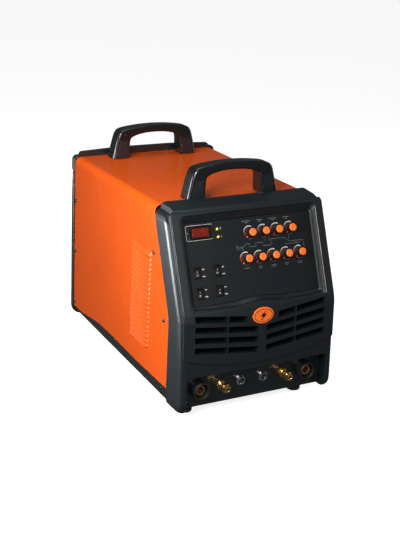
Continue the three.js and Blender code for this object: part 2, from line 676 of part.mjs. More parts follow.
function arcStarter() {
  const plinth = box(-122, -62, -138, -78, 208, 214);
  const coil = turned([[0, 213], [26, 213], [26, 217], [20, 217], [20, 250], [26, 250], [26, 254],
    [0, 254]], 18).translate(-92, -108, 0);
  return shell(join(plinth, coil));
}

// ---- assembly ----
const group = new THREE.Group();
group.name = "tig_welding_machine";

function add(name, geometry, colour, roughness = 0.6, metalness = 0) {
  const material = new THREE.MeshStandardMaterial({ color: colour, roughness, metalness });
  const mesh = new THREE.Mesh(geometry, material);
  mesh.name = name;
  group.add(mesh);
}

const BLACK = 0x23262b;
const DARK = 0x15171a;
const ORANGE = 0xe8571c;
const STEEL = 0x8d9196;
const BRASS = 0xc9a45c;
const RUBBER = 0x101010;

add("base_pan", basePan(), 0x1b1b1d, 0.5, 0.3);
add("outer_cover", outerCover(), ORANGE, 0.3);
add("front_fascia", frontFascia(), BLACK);
add("rear_bezel", rearBezel(), BLACK);
add("rear_panel", rearPanel(), 0x1d1f22, 0.5, 0.3);
add("control_panel", controlPanel(), DARK);
add("display_bezel", displayBezel(), 0x0c0c0d, 0.4);
add("display_window", displayWindow(), 0x8c1410, 0.15);
LAMPS.forEach(([x, v], i) => add(`indicator_lamp_${i + 1}`, lamp(x, v), 0xe0b43a, 0.2));
KNOB_TOP.x.forEach((x, i) => {
  add(`knob_top_${i + 1}`, knob(x, KNOB_TOP.v, i === 1 ? 72 : 140), DARK, 0.45);
});
KNOB_LOW.x.forEach((x, i) => add(`knob_low_${i + 1}`, knob(x, KNOB_LOW.v, 140), DARK, 0.45));
ROCKERS.forEach(([x, v], i) => {
  add(`rocker_housing_${i + 1}`, rockerHousing(x, v), 0x0e0f10, 0.5);
  add(`rocker_${i + 1}`, rocker(x, v), 0x141516, 0.4);
});
for (const [side, s] of [["left", -1], ["right", 1]]) {
  add(`dinse_insulator_${side}`, dinseInsulator(s * DINSE_X), 0x141518, 0.55);
  add(`dinse_insert_${side}`, dinseInsert(s * DINSE_X), BRASS, 0.3, 1);
  add(`coupler_body_${side}`, couplerBody(s * COUPLER_X), BRASS, 0.3, 1);
  add(`coupler_collar_${side}`, couplerCollar(s * COUPLER_X), BRASS, 0.3, 1);
  add(`control_socket_${side}`, controlSocket(s * AVIATION_X), 0xb8bcc0, 0.25, 1);
}
add("badge", badgeSlab(23.4, 15.9, -1.4, 1.2), ORANGE, 0.35);
FEET.forEach(([x, y], i) => add(`rubber_foot_${i + 1}`, rubberFoot(x, y), RUBBER, 0.9));
add("handle_front", handle(HANDLE_FRONT[0]), BLACK);
add("handle_rear", handle(HANDLE_FRONT[1]), BLACK);
add("fan_frame", fanFrame(), DARK);
add("fan_rotor", fanRotor(), DARK);
add("fan_guard", fanGuard(), STEEL, 0.35, 0.9);
add("mains_switch_body", mainsSwitchBody(), DARK, 0.5);
add("mains_switch_knob", mainsSwitchKnob(), 0xb01818, 0.4);
add("gas_inlet", gasInlet(), BRASS, 0.3, 1);
add("cable_gland", cableGland(), DARK, 0.6);
add("earth_stud", earthStud(), STEEL, 0.35, 1);
add("deck_plate", deckPlate(), STEEL, 0.4, 0.8);
add("heatsink", heatsink(), 0xa9adb1, 0.4, 0.9);
add("main_transformer", mainTransformer(), 0x5a4a36, 0.6);
add("output_inductor", outputInductor(), 0x7a4a22, 0.5);
add("inverter_board", inverterBoard(), 0x1f5a34, 0.6);
add("control_board", controlBoard(), 0x1f5a34, 0.6);
add("gas_valve", gasValve(), BRASS, 0.35, 0.8);
add("arc_starter", arcStarter(), 0x6b3a1c, 0.6);

export default group;
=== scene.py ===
"""A portable tig welding machine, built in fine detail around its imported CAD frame.

Shapes are worked out in millimetres, in the frame's own axes: +X to the right, +Y from front to
rear and +Z up, with the floor at zero. They are written to the meshes in metres.
"""

import json
import math

import bmesh
import bpy
import numpy as np
from mathutils import Matrix, Vector
from mathutils.bvhtree import BVHTree

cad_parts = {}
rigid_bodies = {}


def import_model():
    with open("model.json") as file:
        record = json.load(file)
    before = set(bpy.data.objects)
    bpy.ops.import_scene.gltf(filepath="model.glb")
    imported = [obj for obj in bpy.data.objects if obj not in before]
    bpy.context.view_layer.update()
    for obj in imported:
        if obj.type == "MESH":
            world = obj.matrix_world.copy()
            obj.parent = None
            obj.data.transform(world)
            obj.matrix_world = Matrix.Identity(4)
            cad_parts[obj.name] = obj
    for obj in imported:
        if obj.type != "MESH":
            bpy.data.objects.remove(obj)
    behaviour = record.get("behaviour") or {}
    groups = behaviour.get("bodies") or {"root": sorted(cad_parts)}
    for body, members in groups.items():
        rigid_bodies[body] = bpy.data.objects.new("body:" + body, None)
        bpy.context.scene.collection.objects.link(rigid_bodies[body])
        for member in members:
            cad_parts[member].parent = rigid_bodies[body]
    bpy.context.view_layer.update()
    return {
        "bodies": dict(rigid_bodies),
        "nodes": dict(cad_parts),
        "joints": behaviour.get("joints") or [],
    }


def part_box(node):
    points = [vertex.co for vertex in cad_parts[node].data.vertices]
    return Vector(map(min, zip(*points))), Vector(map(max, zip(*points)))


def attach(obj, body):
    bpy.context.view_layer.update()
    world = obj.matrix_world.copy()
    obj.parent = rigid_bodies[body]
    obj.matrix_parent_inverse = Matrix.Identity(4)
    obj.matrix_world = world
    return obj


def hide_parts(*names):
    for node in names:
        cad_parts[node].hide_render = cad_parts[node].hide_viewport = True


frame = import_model()

MM = 0.001


def span(node):
    """Lowest and highest corner of a CAD node, in millimetres."""
    return [Vector(corner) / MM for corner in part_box(node)]


def middle(node):
    low, high = span(node)
    return (low + high) / 2


# ---- driving dimensions ----
GAP = 0.35
SHEET = 1.5
FRONT_HALF = span("front_fascia")[1].x
FRONT_LOW = span("front_fascia")[0].z
COVER_HALF = FRONT_HALF - 1
COVER_TOP = span("handle_front")[0].z - GAP
COVER_LOW = span("outer_cover")[0].z
COVER_REAR = span("rear_bezel")[0].y - GAP
COVER_ROUND = 16
REAR_END = span("rear_bezel")[1].y
BEZEL_HALF = span("rear_bezel")[1].x
KINK_Y, KINK_Z = -259, 231          # a point of the sloping face, level with the panel's foot
BEND_LOW, BEND_HIGH = 208, 222      # between these the front turns from the belly to the slope
BELLY_Y, BELLY_SLOPE = -266.1, 0.0537
MASK_HALF = 169
RECESS_DEPTH = 13
RECESS_MOUTH, RECESS_FLOOR = (148.5, -4.5, 174, 9), (138.3, 5.8, 161, 6)
# Grille slots: lowest centre, pitch, rise towards the sides and half height.
SLOT_LOW, SLOT_PITCH, SLOT_SLOPE, SLOT_HALF = 136.2, 20.3, 0.113, 6
BAY_HALF, BAY_TOP, BAY_BACK = 156.4, 97, -238
SOCKET_Z = 62
CURRENT_X, COUPLER_X, CONTROL_X = 119.8, 71, 25.4
LOUVRES, LOUVRE_PITCH, LOUVRE_TOP = 20, 9.84, 304.5
LOUVRE_FRONT, LOUVRE_REAR = -125, -37
FIELD_LOW, FIELD_HIGH = LOUVRE_TOP - 15 - LOUVRES * LOUVRE_PITCH, LOUVRE_TOP + 6

JOINTS = {joint["name"]: joint for joint in frame["joints"]}
OUT = -Vector(JOINTS["knob_top_1_turn"]["axis"]).normalized()    # straight out of the panel
UP = OUT.cross(Vector((1, 0, 0)))                                # up along the panel
TILT = UP.y / UP.z


def mask_y(z):
    """Where the middle of the front stands at a height."""
    if z >= BEND_HIGH:
        return KINK_Y + (z - KINK_Z) * TILT
    if z <= BEND_LOW:
        return BELLY_Y - (BEND_LOW - z) * BELLY_SLOPE
    top = KINK_Y + (BEND_HIGH - KINK_Z) * TILT
    return BELLY_Y + (top - BELLY_Y) * (z - BEND_LOW) / (BEND_HIGH - BEND_LOW)


def bow(x):
    """How far the front stands back from its middle: a shallow bow."""
    return 4.5 * (x / 170) ** 2


def seam_y(z):
    """Rear edge of the moulded front, where the sheet cover starts."""
    if z >= 206:
        return -199.5 + (z - 215) * TILT
    return -205.5 + max(0, (z - 185) / 21) * (6 - 9 * TILT)


# ---- outlines ----
def arc(cx, cy, radius, start, end, steps):
    turns = [math.radians(start + (end - start) * i / steps) for i in range(steps + 1)]
    return [(cx + radius * math.cos(t), cy + radius * math.sin(t)) for t in turns]


def circle(cx, cy, radius, steps=48):
    return arc(cx, cy, radius, 0, 360, steps)[:-1]


def round_box(x0, x1, y0, y1, radius, steps=5):
    corners = [(x1, y1, 1, 1, 0), (x0, y1, -1, 1, 90), (x0, y0, -1, -1, 180), (x1, y0, 1, -1, 270)]
    out = []
    for x, y, sx, sy, start in corners:
        out += arc(x - sx * radius, y - sy * radius, radius, start, start + 90, steps)
    return out


def fillet(corners, steps):
    """A closed outline through (x, y, radius) corners, with an arc at each."""
    out = []
    for i, (x, y, radius) in enumerate(corners):
        if not radius:
            out.append((x, y))
            continue
        here = Vector((x, y))
        back = (Vector(corners[i - 1][:2]) - here).normalized()
        ahead = (Vector(corners[(i + 1) % len(corners)][:2]) - here).normalized()
        half = back.angle(ahead) / 2
        centre = here + (back + ahead).normalized() * radius / math.sin(half)
        first = here + back * radius / math.tan(half) - centre
        last = here + ahead * radius / math.tan(half) - centre
        sweep = math.atan2(first.x * last.y - first.y * last.x, first.dot(last))
        for k in range(steps + 1):
            spoke = Matrix.Rotation(sweep * k / steps, 2) @ first
            out.append(tuple(centre + spoke))
    return out


def curve(points, steps):
    """An even curve through the points, which may have any number of values each."""
    pts = [np.array(p, float) for p in points]
    pts = [2 * pts[0] - pts[1], *pts, 2 * pts[-1] - pts[-2]]
    out = []
    for a, b, c, d in zip(pts, pts[1:], pts[2:], pts[3:]):
        for k in range(steps):
            t = k / steps
            out.append(0.5 * (2 * b + (c - a) * t + (2 * a - 5 * b + 4 * c - d) * t * t
                              + (3 * b - a - 3 * c + d) * t ** 3))
    return [tuple(p) for p in [*out, pts[-2]]]


def mirrored(half):
    return [*half, *[(-x, *rest) for x, *rest in reversed(half) if x]]


# ---- solids: each is a list of points and a list of faces ----
def loft(rings, loop=False):
    """A closed skin through rings of equal length, with end faces unless it runs in a loop."""
    n, count = len(rings[0]), len(rings)
    points = [tuple(p) for ring in rings for p in ring]
    faces = []
    for k in range(count if loop else count - 1):
        a, b = k * n, (k + 1) % count * n
        faces += [(a + i, a + (i + 1) % n, b + (i + 1) % n, b + i) for i in range(n)]
    if not loop:
        faces += [tuple(range(n)), tuple(range((count - 1) * n, count * n))]
    return points, faces


def along_x(outline, a, b):
    return loft([[(x, y, z) for y, z in outline] for x in (a, b)])


def along_y(outline, a, b):
    return loft([[(x, y, z) for x, z in outline] for y in (a, b)])


def level(outline, z):
    return [(x, y, z) for x, y in outline]


def along_z(outline, a, b):
    return loft([level(outline, z) for z in (a, b)])


def turned(profile, steps, ripple=None):
    """A turned part on local Z from (radius, height) pairs that end on the axis or close."""
    closed = profile[0] == profile[-1]
    points, faces, rows = [], [], []
    for radius, height in profile[:-1] if closed else profile:
        if radius < 1e-6:
            rows.append([len(points)] * steps)
            points.append((0, 0, height))
            continue
        rows.append(range(len(points), len(points) + steps))
        for i in range(steps):
            turn = 2 * math.pi * i / steps
            reach = radius + (ripple(turn, height) if ripple else 0)
            points.append((reach * math.cos(turn), reach * math.sin(turn), height))
    for a, b in zip(rows, [*rows[1:], rows[0]] if closed else rows[1:]):
        for i in range(steps):
            j = (i + 1) % steps
            quad = tuple(dict.fromkeys((a[i], a[j], b[j], b[i])))
            if len(quad) > 2:
                faces.append(quad)
    return points, faces


def band(path, widths, low, high, loop=False):
    """A flat strip along a path in the local XY plane, between two heights."""
    widths = widths if isinstance(widths, list) else [widths] * len(path)
    pts = [Vector(p) for p in path]
    rings = []
    for i, (p, width) in enumerate(zip(pts, widths)):
        before = pts[i - 1] if loop or i else p
        after = pts[(i + 1) % len(pts)] if loop or i + 1 < len(pts) else p
        along = (after - before).normalized()
        side = Vector((-along.y, along.x)) * width / 2
        if (p - before).length > 1e-6 and (after - p).length > 1e-6:
            bend = (p - before).normalized().dot((after - p).normalized())
            side /= max(0.6, math.sqrt(max(0, (1 + bend) / 2)))
        left, right = p + side, p - side
        rings.append([(*left, low), (*right, low), (*right, high), (*left, high)])
    return loft(rings, loop)


def block(x0, x1, y0, y1, z0, z1):
    return along_z([(x0, y0), (x1, y0), (x1, y1), (x0, y1)], z0, z1)


def moved(shape, matrix):
    points, faces = shape
    return [tuple(matrix @ Vector(p)) for p in points], faces


def merged(shapes):
    points, faces = [], []
    for more, skin in shapes:
        faces += [tuple(i + len(points) for i in face) for face in skin]
        points += more
    return points, faces


def facing(origin, out, up=(0, 0, 1)):
    """The placing that turns local Z to out and local Y towards up."""
    z = Vector(out).normalized()
    x = Vector(up).cross(z).normalized()
    place = Matrix((x, z.cross(x), z)).transposed().to_4x4()
    place.translation = origin
    return place


def on_panel(x, v, h=0.0):
    """Local axes on the sloping panel: X across, Y up the slope and Z out of it."""
    at = Vector((x, KINK_Y, KINK_Z)) + UP * v + OUT * (h - RECESS_DEPTH)
    return facing(at, OUT, UP)


def pivot(joint):
    return Vector(JOINTS[joint]["pos_m"]) / MM


def panel_spot(at):
    """How far up the panel a point lies, and how far out of it."""
    away = at - Vector((0, KINK_Y, KINK_Z))
    return away.dot(UP), away.dot(OUT) + RECESS_DEPTH


def at_front(x, y, z):
    return facing((x, y, z), (0, -1, 0))


def at_rear(x, y, z):
    return facing((x, y, z), (0, 1, 0))


def spun(degrees, axis="Z"):
    return Matrix.Rotation(math.radians(degrees), 4, axis)


def shifted(x, y=0, z=0):
    return Matrix.Translation((x, y, z))


# ---- meshes ----
def put(name, data):
    made = bpy.data.objects.new(name, data)
    bpy.context.scene.collection.objects.link(made)
    return made


def mesh_object(name, shape, place=None):
    points, faces = moved(shape, place) if place else shape
    mesh = bpy.data.meshes.new(name)
    mesh.from_pydata([[c * MM for c in p] for p in points], [], faces)
    work = bmesh.new()
    work.from_mesh(mesh)
    bmesh.ops.recalc_face_normals(work, faces=work.faces)
    work.to_mesh(mesh)
    work.free()
    return put(name, mesh)


def apply_modifiers(made):
    graph = bpy.context.evaluated_depsgraph_get()
    graph.update()
    mesh = bpy.data.meshes.new_from_object(made.evaluated_get(graph))
    made.modifiers.clear()
    made.data = mesh


def combine(made, shapes, operation="DIFFERENCE"):
    tool = mesh_object("tool", merged(shapes))
    step = made.modifiers.new("combine", "BOOLEAN")
    step.object, step.operation, step.solver = tool, operation, "MANIFOLD"
    apply_modifiers(made)
    bpy.data.objects.remove(tool)


# No corner of a sound bevel lies further off the old surface than this share of its width.
BEVEL_REACH = 0.42


def soften(made, width, segments=2, angle=32):
    """Bevels the sharp edges, then draws stray corners back to the surface they came from."""
    mesh = made.data
    before = BVHTree.FromPolygons([vertex.co for vertex in mesh.vertices],
                                  [face.vertices for face in mesh.polygons])
    step = made.modifiers.new("bevel", "BEVEL")
    step.width, step.segments = width * MM, segments
    step.limit_method, step.angle_limit = "ANGLE", math.radians(angle)
    step.use_clamp_overlap = False
    apply_modifiers(made)
    for vertex in made.data.vertices:
        near, _, _, gap = before.find_nearest(vertex.co)
        if gap > BEVEL_REACH * width * MM:
            vertex.co = near


def paint(mesh, material):
    mesh.materials.clear()
    mesh.materials.append(material)


def dress(made, material, angle=40, body="housing", slot=None, replaces=None):
    """Evens out the shading and gives the piece its finish, its body and its part in the CAD."""
    mesh = made.data
    mesh.polygons.foreach_set("use_smooth", [True] * len(mesh.polygons))
    mesh.set_sharp_from_angle(angle=math.radians(angle))
    made.modifiers.new("normals", "WEIGHTED_NORMAL").keep_sharp = True
    apply_modifiers(made)
    paint(made.data, material)
    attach(made, body)
    if replaces:
        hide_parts(replaces)


def piece(name, shapes, material, place=None, bevel=None, **facts):
    """One finished piece of the object from closed solids, with its edges softened."""
    made = mesh_object(name, merged(shapes), place)
    if bevel:
        soften(made, *bevel)
    dress(made, material, **facts)


# ---- materials ----
def tune(node, **values):
    """Sets a shader node's inputs, each named with underscores for its spaces."""
    for socket, value in values.items():
        node.inputs[socket.replace("_", " ")].default_value = value


def finish(name, colour, rough, cloud, grain, shift=0.10, metal=0.0, rough_shift=0.06,
           stretch=(1, 1, 1), wave=0.0, coat=0.0, coat_rough=0.1, specular=0.5):
    """A surface with cloudy colour and roughness, a fine grain and, on sheet, a slow waviness.

    The clouds are given by their scale, and the grain by its strength and scale.
    """
    material = bpy.data.materials.new(name)
    material.use_nodes = True
    nodes, link = material.node_tree.nodes, material.node_tree.links.new
    shader = nodes["Principled BSDF"]
    tune(shader, Metallic=metal, Coat_Weight=coat, Coat_Roughness=coat_rough,
         Specular_IOR_Level=specular)
    coords = nodes.new("ShaderNodeTexCoord")
    mapping = nodes.new("ShaderNodeMapping")
    tune(mapping, Scale=stretch)
    link(coords.outputs["Object"], mapping.inputs["Vector"])

    def noise(scale, detail=3):
        made = nodes.new("ShaderNodeTexNoise")
        tune(made, Scale=scale, Detail=detail)
        link(mapping.outputs["Vector"], made.inputs["Vector"])
        return made.outputs["Fac"]

    clouds = noise(cloud)
    ramp = nodes.new("ShaderNodeValToRGB")
    for stop, place, share in zip(ramp.color_ramp.elements, (0.3, 0.7), (1 - shift, 1 + shift)):
        stop.position = place
        stop.color = (*[min(1, c * share) for c in colour], 1)
    link(clouds, ramp.inputs["Fac"])
    link(ramp.outputs["Color"], shader.inputs["Base Color"])
    spread = nodes.new("ShaderNodeMapRange")
    tune(spread, To_Min=rough - rough_shift, To_Max=rough + rough_shift)
    link(noise(cloud * 5), spread.inputs["Value"])
    link(spread.outputs["Result"], shader.inputs["Roughness"])
    normal = None
    for strength, scale, depth in ((wave, 9, 0.004), (*grain, 0.0004)):
        if not strength:
            continue
        bump = nodes.new("ShaderNodeBump")
        tune(bump, Strength=strength, Distance=depth)
        link(noise(scale, 2), bump.inputs["Height"])
        if normal:
            link(normal, bump.inputs["Normal"])
        normal = bump.outputs["Normal"]
    if normal:
        link(normal, shader.inputs["Normal"])
    return material


ORANGE = finish("orange_paint", (0.68, 0.088, 0.006), 0.27, 5, (0.02, 420), shift=0.05, wave=0.006,
                coat=0.05, coat_rough=0.2, specular=0.18)
MOULDING = finish("charcoal_moulding", (0.0034, 0.0068, 0.0102), 0.34, 22, (0.05, 1500),
                  rough_shift=0.03, specular=0.9)
HANDLE = finish("handle_moulding", (0.003, 0.004, 0.0055), 0.24, 22, (0.04, 1500), rough_shift=0.03,
                specular=0.8)
PANEL = finish("panel_film", (0.0034, 0.0052, 0.0076), 0.5, 30, (0.25, 2600), specular=0.3)
PAN = finish("black_enamel", (0.008, 0.008, 0.009), 0.32, 8, (0.08, 500), coat=0.2)
GLOSS = finish("gloss_black", (0.005, 0.005, 0.006), 0.22, 60, (0.05, 1800))
SATIN = finish("satin_black", (0.006, 0.0065, 0.0075), 0.4, 60, (0.12, 1800))
INSULATOR = finish("glass_filled_nylon", (0.008, 0.009, 0.011), 0.46, 40, (0.3, 1100))
# Near-black, rough and barely glossy: painted shade for the pad that stands in for the dark inside
# behind the grille slots.
SHADE_PAD_BLACK = finish("grille_shade_black", (0.002, 0.002, 0.0024), 0.95, 60, (0.3, 1400), specular=0.05)
RUBBER = finish("foot_rubber", (0.006, 0.006, 0.006), 0.75, 50, (0.4, 900))
METER_RED = finish("meter_red", (0.14, 0.008, 0.005), 0.18, 70, (0.03, 1400), shift=0.12, coat=0.6,
                   coat_rough=0.05)
SEGMENT = finish("unlit_segment", (0.055, 0.004, 0.003), 0.35, 90, (0.05, 1400))
LAMP = finish("lamp_amber", (0.72, 0.52, 0.07), 0.2, 200, (0.03, 1400), coat=0.5)
CAP = finish("knob_cap", (0.88, 0.165, 0.025), 0.42, 90, (0.1, 1600), shift=0.04)
POINTER = finish("pointer_paint", (0.80, 0.07, 0.02), 0.45, 200, (0.1, 1400), shift=0.06)
PRINT = finish("grey_print", (0.42, 0.45, 0.52), 0.55, 160, (0.15, 1400), shift=0.12)
FAINT = finish("faint_print", (0.11, 0.125, 0.15), 0.55, 160, (0.15, 1400), shift=0.2)
BRASS = finish("turned_brass", (0.78, 0.52, 0.20), 0.26, 40, (0.12, 500), metal=1.0,
               stretch=(1, 6, 1), rough_shift=0.08)
COPPER = finish("tarnished_bore", (0.20, 0.06, 0.03), 0.5, 120, (0.2, 1400), metal=0.6)
NICKEL = finish("bright_nickel", (0.72, 0.73, 0.75), 0.16, 60, (0.05, 1400), metal=1.0,
                rough_shift=0.05)
ZINC = finish("zinc_plate", (0.50, 0.51, 0.53), 0.34, 50, (0.12, 800), metal=1.0, shift=0.16)
FIN = finish("extruded_aluminium", (0.62, 0.63, 0.65), 0.38, 30, (0.2, 1400), metal=1.0,
             stretch=(1, 0.05, 1))
CORE = finish("laminated_core", (0.06, 0.05, 0.045), 0.5, 60, (0.5, 900), metal=0.4,
              stretch=(1, 1, 0.05))
WINDING = finish("varnished_winding", (0.30, 0.10, 0.03), 0.3, 80, (0.6, 300), metal=0.5,
                 stretch=(0.1, 1, 1), coat=0.4)
BOARD = finish("circuit_board", (0.015, 0.10, 0.04), 0.4, 120, (0.2, 1400), shift=0.3)
VALVE = finish("cast_brass", (0.60, 0.42, 0.18), 0.4, 50, (0.4, 700), metal=1.0)
SWITCH_RED = finish("switch_red", (0.48, 0.012, 0.010), 0.35, 60, (0.1, 1400))

KEPT = {
    "base_pan": PAN, "rear_panel": PAN, "control_panel": PANEL, "deck_plate": ZINC,
    "heatsink": FIN, "main_transformer": CORE, "output_inductor": WINDING,
    "inverter_board": BOARD, "control_board": BOARD, "gas_valve": VALVE, "arc_starter": WINDING,
    "fan_frame": SATIN, "fan_rotor": SATIN,
}
for node_name, kept_finish in KEPT.items():
    paint(frame["nodes"][node_name].data, kept_finish)


# ---- moulded front ----
# Corner of the shell in plan, from its side to its front: how far in, and how far back.
TIGHT = [(0, 21), (0.05, 16), (0.6, 9), (2, 4), (4.5, 1.2), (8.5, 0), (14, -0.2)]
BROAD = [(0, 21), (0.5, 16.4), (1.6, 13), (3.4, 9.8), (6.2, 6.5), (10.5, 3.5), (16, 1.4)]


def fascia_rings(inset):
    """Outer skin of the shell, or its hollow, by height: toe, straight part and shoulder."""
    toe = curve([(FRONT_LOW, 9, 20), (24.5, 4, 11), (30, 1.2, 4.5), (38, 0.2, 1), (46, 0, 0)], 3)
    straight = [(z, 0, 0) for z in (80, 112.4, 150, 163, 176, 185, 196, 206, 208, 213, 218, 222,
                                    300, 360)]
    shoulder = curve([(377, 0, 0), (387, 3.6, 4), (391.5, 8, 9), (393.5, 13, 16)], 3)
    rings = []
    for z, narrow, back in [*toe, *straight, *shoulder]:
        half = FRONT_HALF - narrow - 2 * inset
        front = mask_y(max(z, 46)) + 7 + back + inset
        t = min(max((z - 150) / (BEND_HIGH - 150), 0), 1)
        corner = curve([(half - a[0] - t * (b[0] - a[0]), front + a[1] + t * (b[1] - a[1]))
                        for a, b in zip(TIGHT, BROAD)], 3)
        side = [(half, seam_y(z) + 6 * inset), *corner, (100, front - 2.2), (50, front - 3.3)]
        rings.append([(x, y, z) for x, y in mirrored(side)])
    return rings


def bay_outline(half, top, radius):
    return mirrored([(half, 5), *arc(half - radius, top - radius, radius, 0, 90, 8)])


def hump(x):
    """The low wave in the recess's lower edge, over the badge."""
    return 2.6 * (1 + math.cos(math.pi * x / 60)) if abs(x) < 60 else 0


def recess_outline(half, low, high, radius):
    """The recess by its half width, lower and upper edge and corner radius."""
    small = radius / 2
    wave = [(x, low + hump(x)) for x in range(-60, 61, 5)]
    return [*wave, *mirrored([*arc(half - small, low + small, small, 270, 360, 5),
                              *arc(half - radius, high - radius, radius, 0, 90, 8)])]


def recess_tool():
    mouth, floor = recess_outline(*RECESS_MOUTH), recess_outline(*RECESS_FLOOR)
    stations = [(mouth, 40), (mouth, 9.5), (floor, 0), (floor, -40)]
    return moved(loft([level(outline, h) for outline, h in stations]), on_panel(0, 0))


def grille_slots():
    slots = []
    for side in (-1, 1):
        for row in range(4):
            inner = 35 if row == 3 else 9.5
            for a, b in ((inner, 74), (76.4, 144)):
                near, far = [SLOT_LOW + SLOT_PITCH * row + SLOT_SLOPE * x for x in (a, b)]
                corners = [(side * a, near - SLOT_HALF, 0.8), (side * b, far - SLOT_HALF, 0.8),
                           (side * b, far + SLOT_HALF, 0.8), (side * a, near + SLOT_HALF, 0.8)]
                slots.append(along_y(fillet(corners, 2), -300, -225))
    return slots


def badge_place():
    height, lean = 204, 0.105
    out = (0, -math.cos(lean), math.sin(lean))
    return facing((0, mask_y(height) + 0.4, height), out, (0, math.sin(lean), math.cos(lean)))


def ellipse(rx, ry):
    return [(x * rx, y * ry) for x, y in circle(0, 0, 1, 56)]


def fascia_shell():
    made = mesh_object("fascia_shell", loft(fascia_rings(0)))
    inside = [ring for ring in fascia_rings(3.5) if 100 < ring[0][2] < 390.5]
    combine(made, [loft(inside)])
    combine(made, [block(-150, 150, BAY_BACK + 3, -150, FRONT_LOW + 3.5, BAY_TOP + 3.5)])
    combine(made, [along_y(bay_outline(BAY_HALF, BAY_TOP, 8), -300, BAY_BACK)])
    soften(made, 2.6, 4, 60)
    feet = [middle("rubber_foot_1"), middle("rubber_foot_2")]
    combine(made, [along_z(circle(foot.x, foot.y, 18.5), 0, 48) for foot in feet])
    combine(made, [recess_tool()])
    behind_grille = [(0, 125), (150, 141), (150, 224), (0, 212), (-150, 224), (-150, 141)]
    combine(made, [along_y(behind_grille, -300, -238)])
    soften(made, 0.9, 2, 50)
    dress(made, MOULDING, slot="moulding", replaces="front_fascia")


def grille_shade_pad():
    """A ribbed near-black pad behind the grille: painted shade, a dark sheet standing in for the
    shade inside the front, so that the slots stay dark.
    """
    ribs = []
    for i in range(48):
        x = -149 + i * 6.2
        ribs += [(x, -236), (x + 3, -239.5)]
    pad = [*ribs, (149, -236), (149, -233), (-149, -233)]
    piece("grille_shade_pad", [along_z(pad, 122, 219)], SHADE_PAD_BLACK, slot="moulding")


def mask_profile():
    """Section of the mask from front to back: belly, bend, sloping face, crown and back."""
    front = [(mask_y(105), 105, 0), (mask_y(BEND_LOW), BEND_LOW, 30),
             (mask_y(BEND_HIGH), BEND_HIGH, 30)]
    crown = curve([(mask_y(394), 394), (-190.5, 398.5), (-185, 401.8), (-171, 405), (-160, 407.6),
                   (-152, 409), (-147, 408.8), (-142, 407), (-137, 403)], 4)
    behind = [(-134, 391, 0), (-176, 391, 0), (mask_y(386) + 18.5, 386, 0),
              (KINK_Y + 18.5, 231, 0), (mask_y(BEND_HIGH) + 12, 218, 0), (mask_y(105) + 12, 105, 0)]
    return fillet([*front, *[(y, z, 0) for y, z in crown], *behind], 4)


def mask_outline():
    half = MASK_HALF
    smile = [(t * 158, 110.5 + 21 * t * t) for t in np.linspace(0, 0.93, 18)]
    corner = curve([(half - 9, 131.5), (half - 2.4, 136), (half, 143)], 4)
    crown = [(half, 384), (half - 2, 394), (half - 6, 400), (half - 12, 404.5), (half - 18, 411)]
    return mirrored([*smile, *corner, *crown])


def rim_rebate(side):
    """Clears the step along one side edge of the mask."""
    rings = []
    for x in (167.4, 170, 180):
        step = [(mask_y(z) + bow(x) + 6.5, z) for z in (90, BEND_LOW, BEND_HIGH, 420)]
        rings.append([(side * x, y, z) for y, z in (*step, (-250, 420), (-330, 90))])
    return loft(rings)


def fascia_mask():
    half = [12, 30, 48, 66, 84, 102, 120, 138, 152, 173]
    stations = [*[-x for x in reversed(half)], 0, *half]
    skin = [[(x, y + bow(x), z) for y, z in mask_profile()] for x in stations]
    made = mesh_object("fascia_mask", loft(skin))
    combine(made, [along_y(mask_outline(), -300, -100)], "INTERSECT")
    combine(made, [block(158, 190, -184, -100, 370, 430), block(-190, -158, -184, -100, 370, 430)])
    combine(made, [rim_rebate(-1), rim_rebate(1)])
    soften(made, 0.8, 2, 50)
    combine(made, [recess_tool()])
    soften(made, 1.6, 3, 37)
    seat = moved(along_z(ellipse(24.2, 16.7), -1.6, 6), badge_place())
    combine(made, [*grille_slots(), seat])
    soften(made, 0.4, 2, 50)
    dress(made, MOULDING, slot="moulding")


def badge():
    rim = [along_z(ellipse(23.4, 15.9), -1.4, 0.5), along_z(ellipse(22.2, 14.7), 0.4, 1.0)]
    piece("badge_disc", rim, CAP, badge_place(), (0.3, 2), slot="orange_plastic",
          replaces="badge")
    bolt = [(-5.5, -9.5), (7.5, 2.2), (1.6, 2.2), (6.2, 9.5), (-7.2, -1.4), (-1.2, -1.4)]
    ring = [band(ellipse(19.4, 12.2), 1.0, 0.9, 1.25, True)]
    piece("badge_bolt", [along_z(bolt, 0.9, 1.35), *ring], GLOSS, badge_place(), (0.12, 1),
          slot="orange_plastic")


# ---- sheet metal cover ----
def cover_outline(inset):
    half, top = COVER_HALF - inset, COVER_TOP - inset
    bend = [(half, z) for z in (COVER_LOW, 120, 185, 190, 195, 200, 206)]
    return [*bend, *arc(half - COVER_ROUND + inset, top - COVER_ROUND + inset,
                        COVER_ROUND - inset, 0, 90, 14)]


def outer_cover():
    section = [*mirrored(cover_outline(0)), *reversed(mirrored(cover_outline(SHEET)))]
    rings = []
    for t in (0, 0.5, 1):
        rings.append([(x, (1 - t) * (seam_y(z) + GAP) + t * COVER_REAR, z) for x, z in section])
    made = mesh_object("cover_skin", loft(rings))
    window = block(-200, 200, LOUVRE_FRONT - 3, LOUVRE_REAR + 3, FIELD_LOW, FIELD_HIGH)
    combine(made, [window])
    soften(made, 0.35, 2, 50)
    dress(made, ORANGE, slot="cover_paint", replaces="outer_cover")


def lip_rise(y):
    """How far a louvre's lower lip climbs towards its ends."""
    ahead = y + 95
    return 4.3 * (ahead / 57) ** 2 if ahead > 0 else 3.6 * (ahead / 26) ** 2


# Down one louvre: share of its height, and how far it stands out of the sheet.
LOUVRE_SECTION = [(0.0, 0.0), (0.08, 0.35), (0.3, 1.35), (0.55, 2.35), (0.74, 2.9), (0.84, 2.85),
                  (0.9, 2.3), (0.93, 1.3), (0.945, 0.2), (0.955, -0.35)]


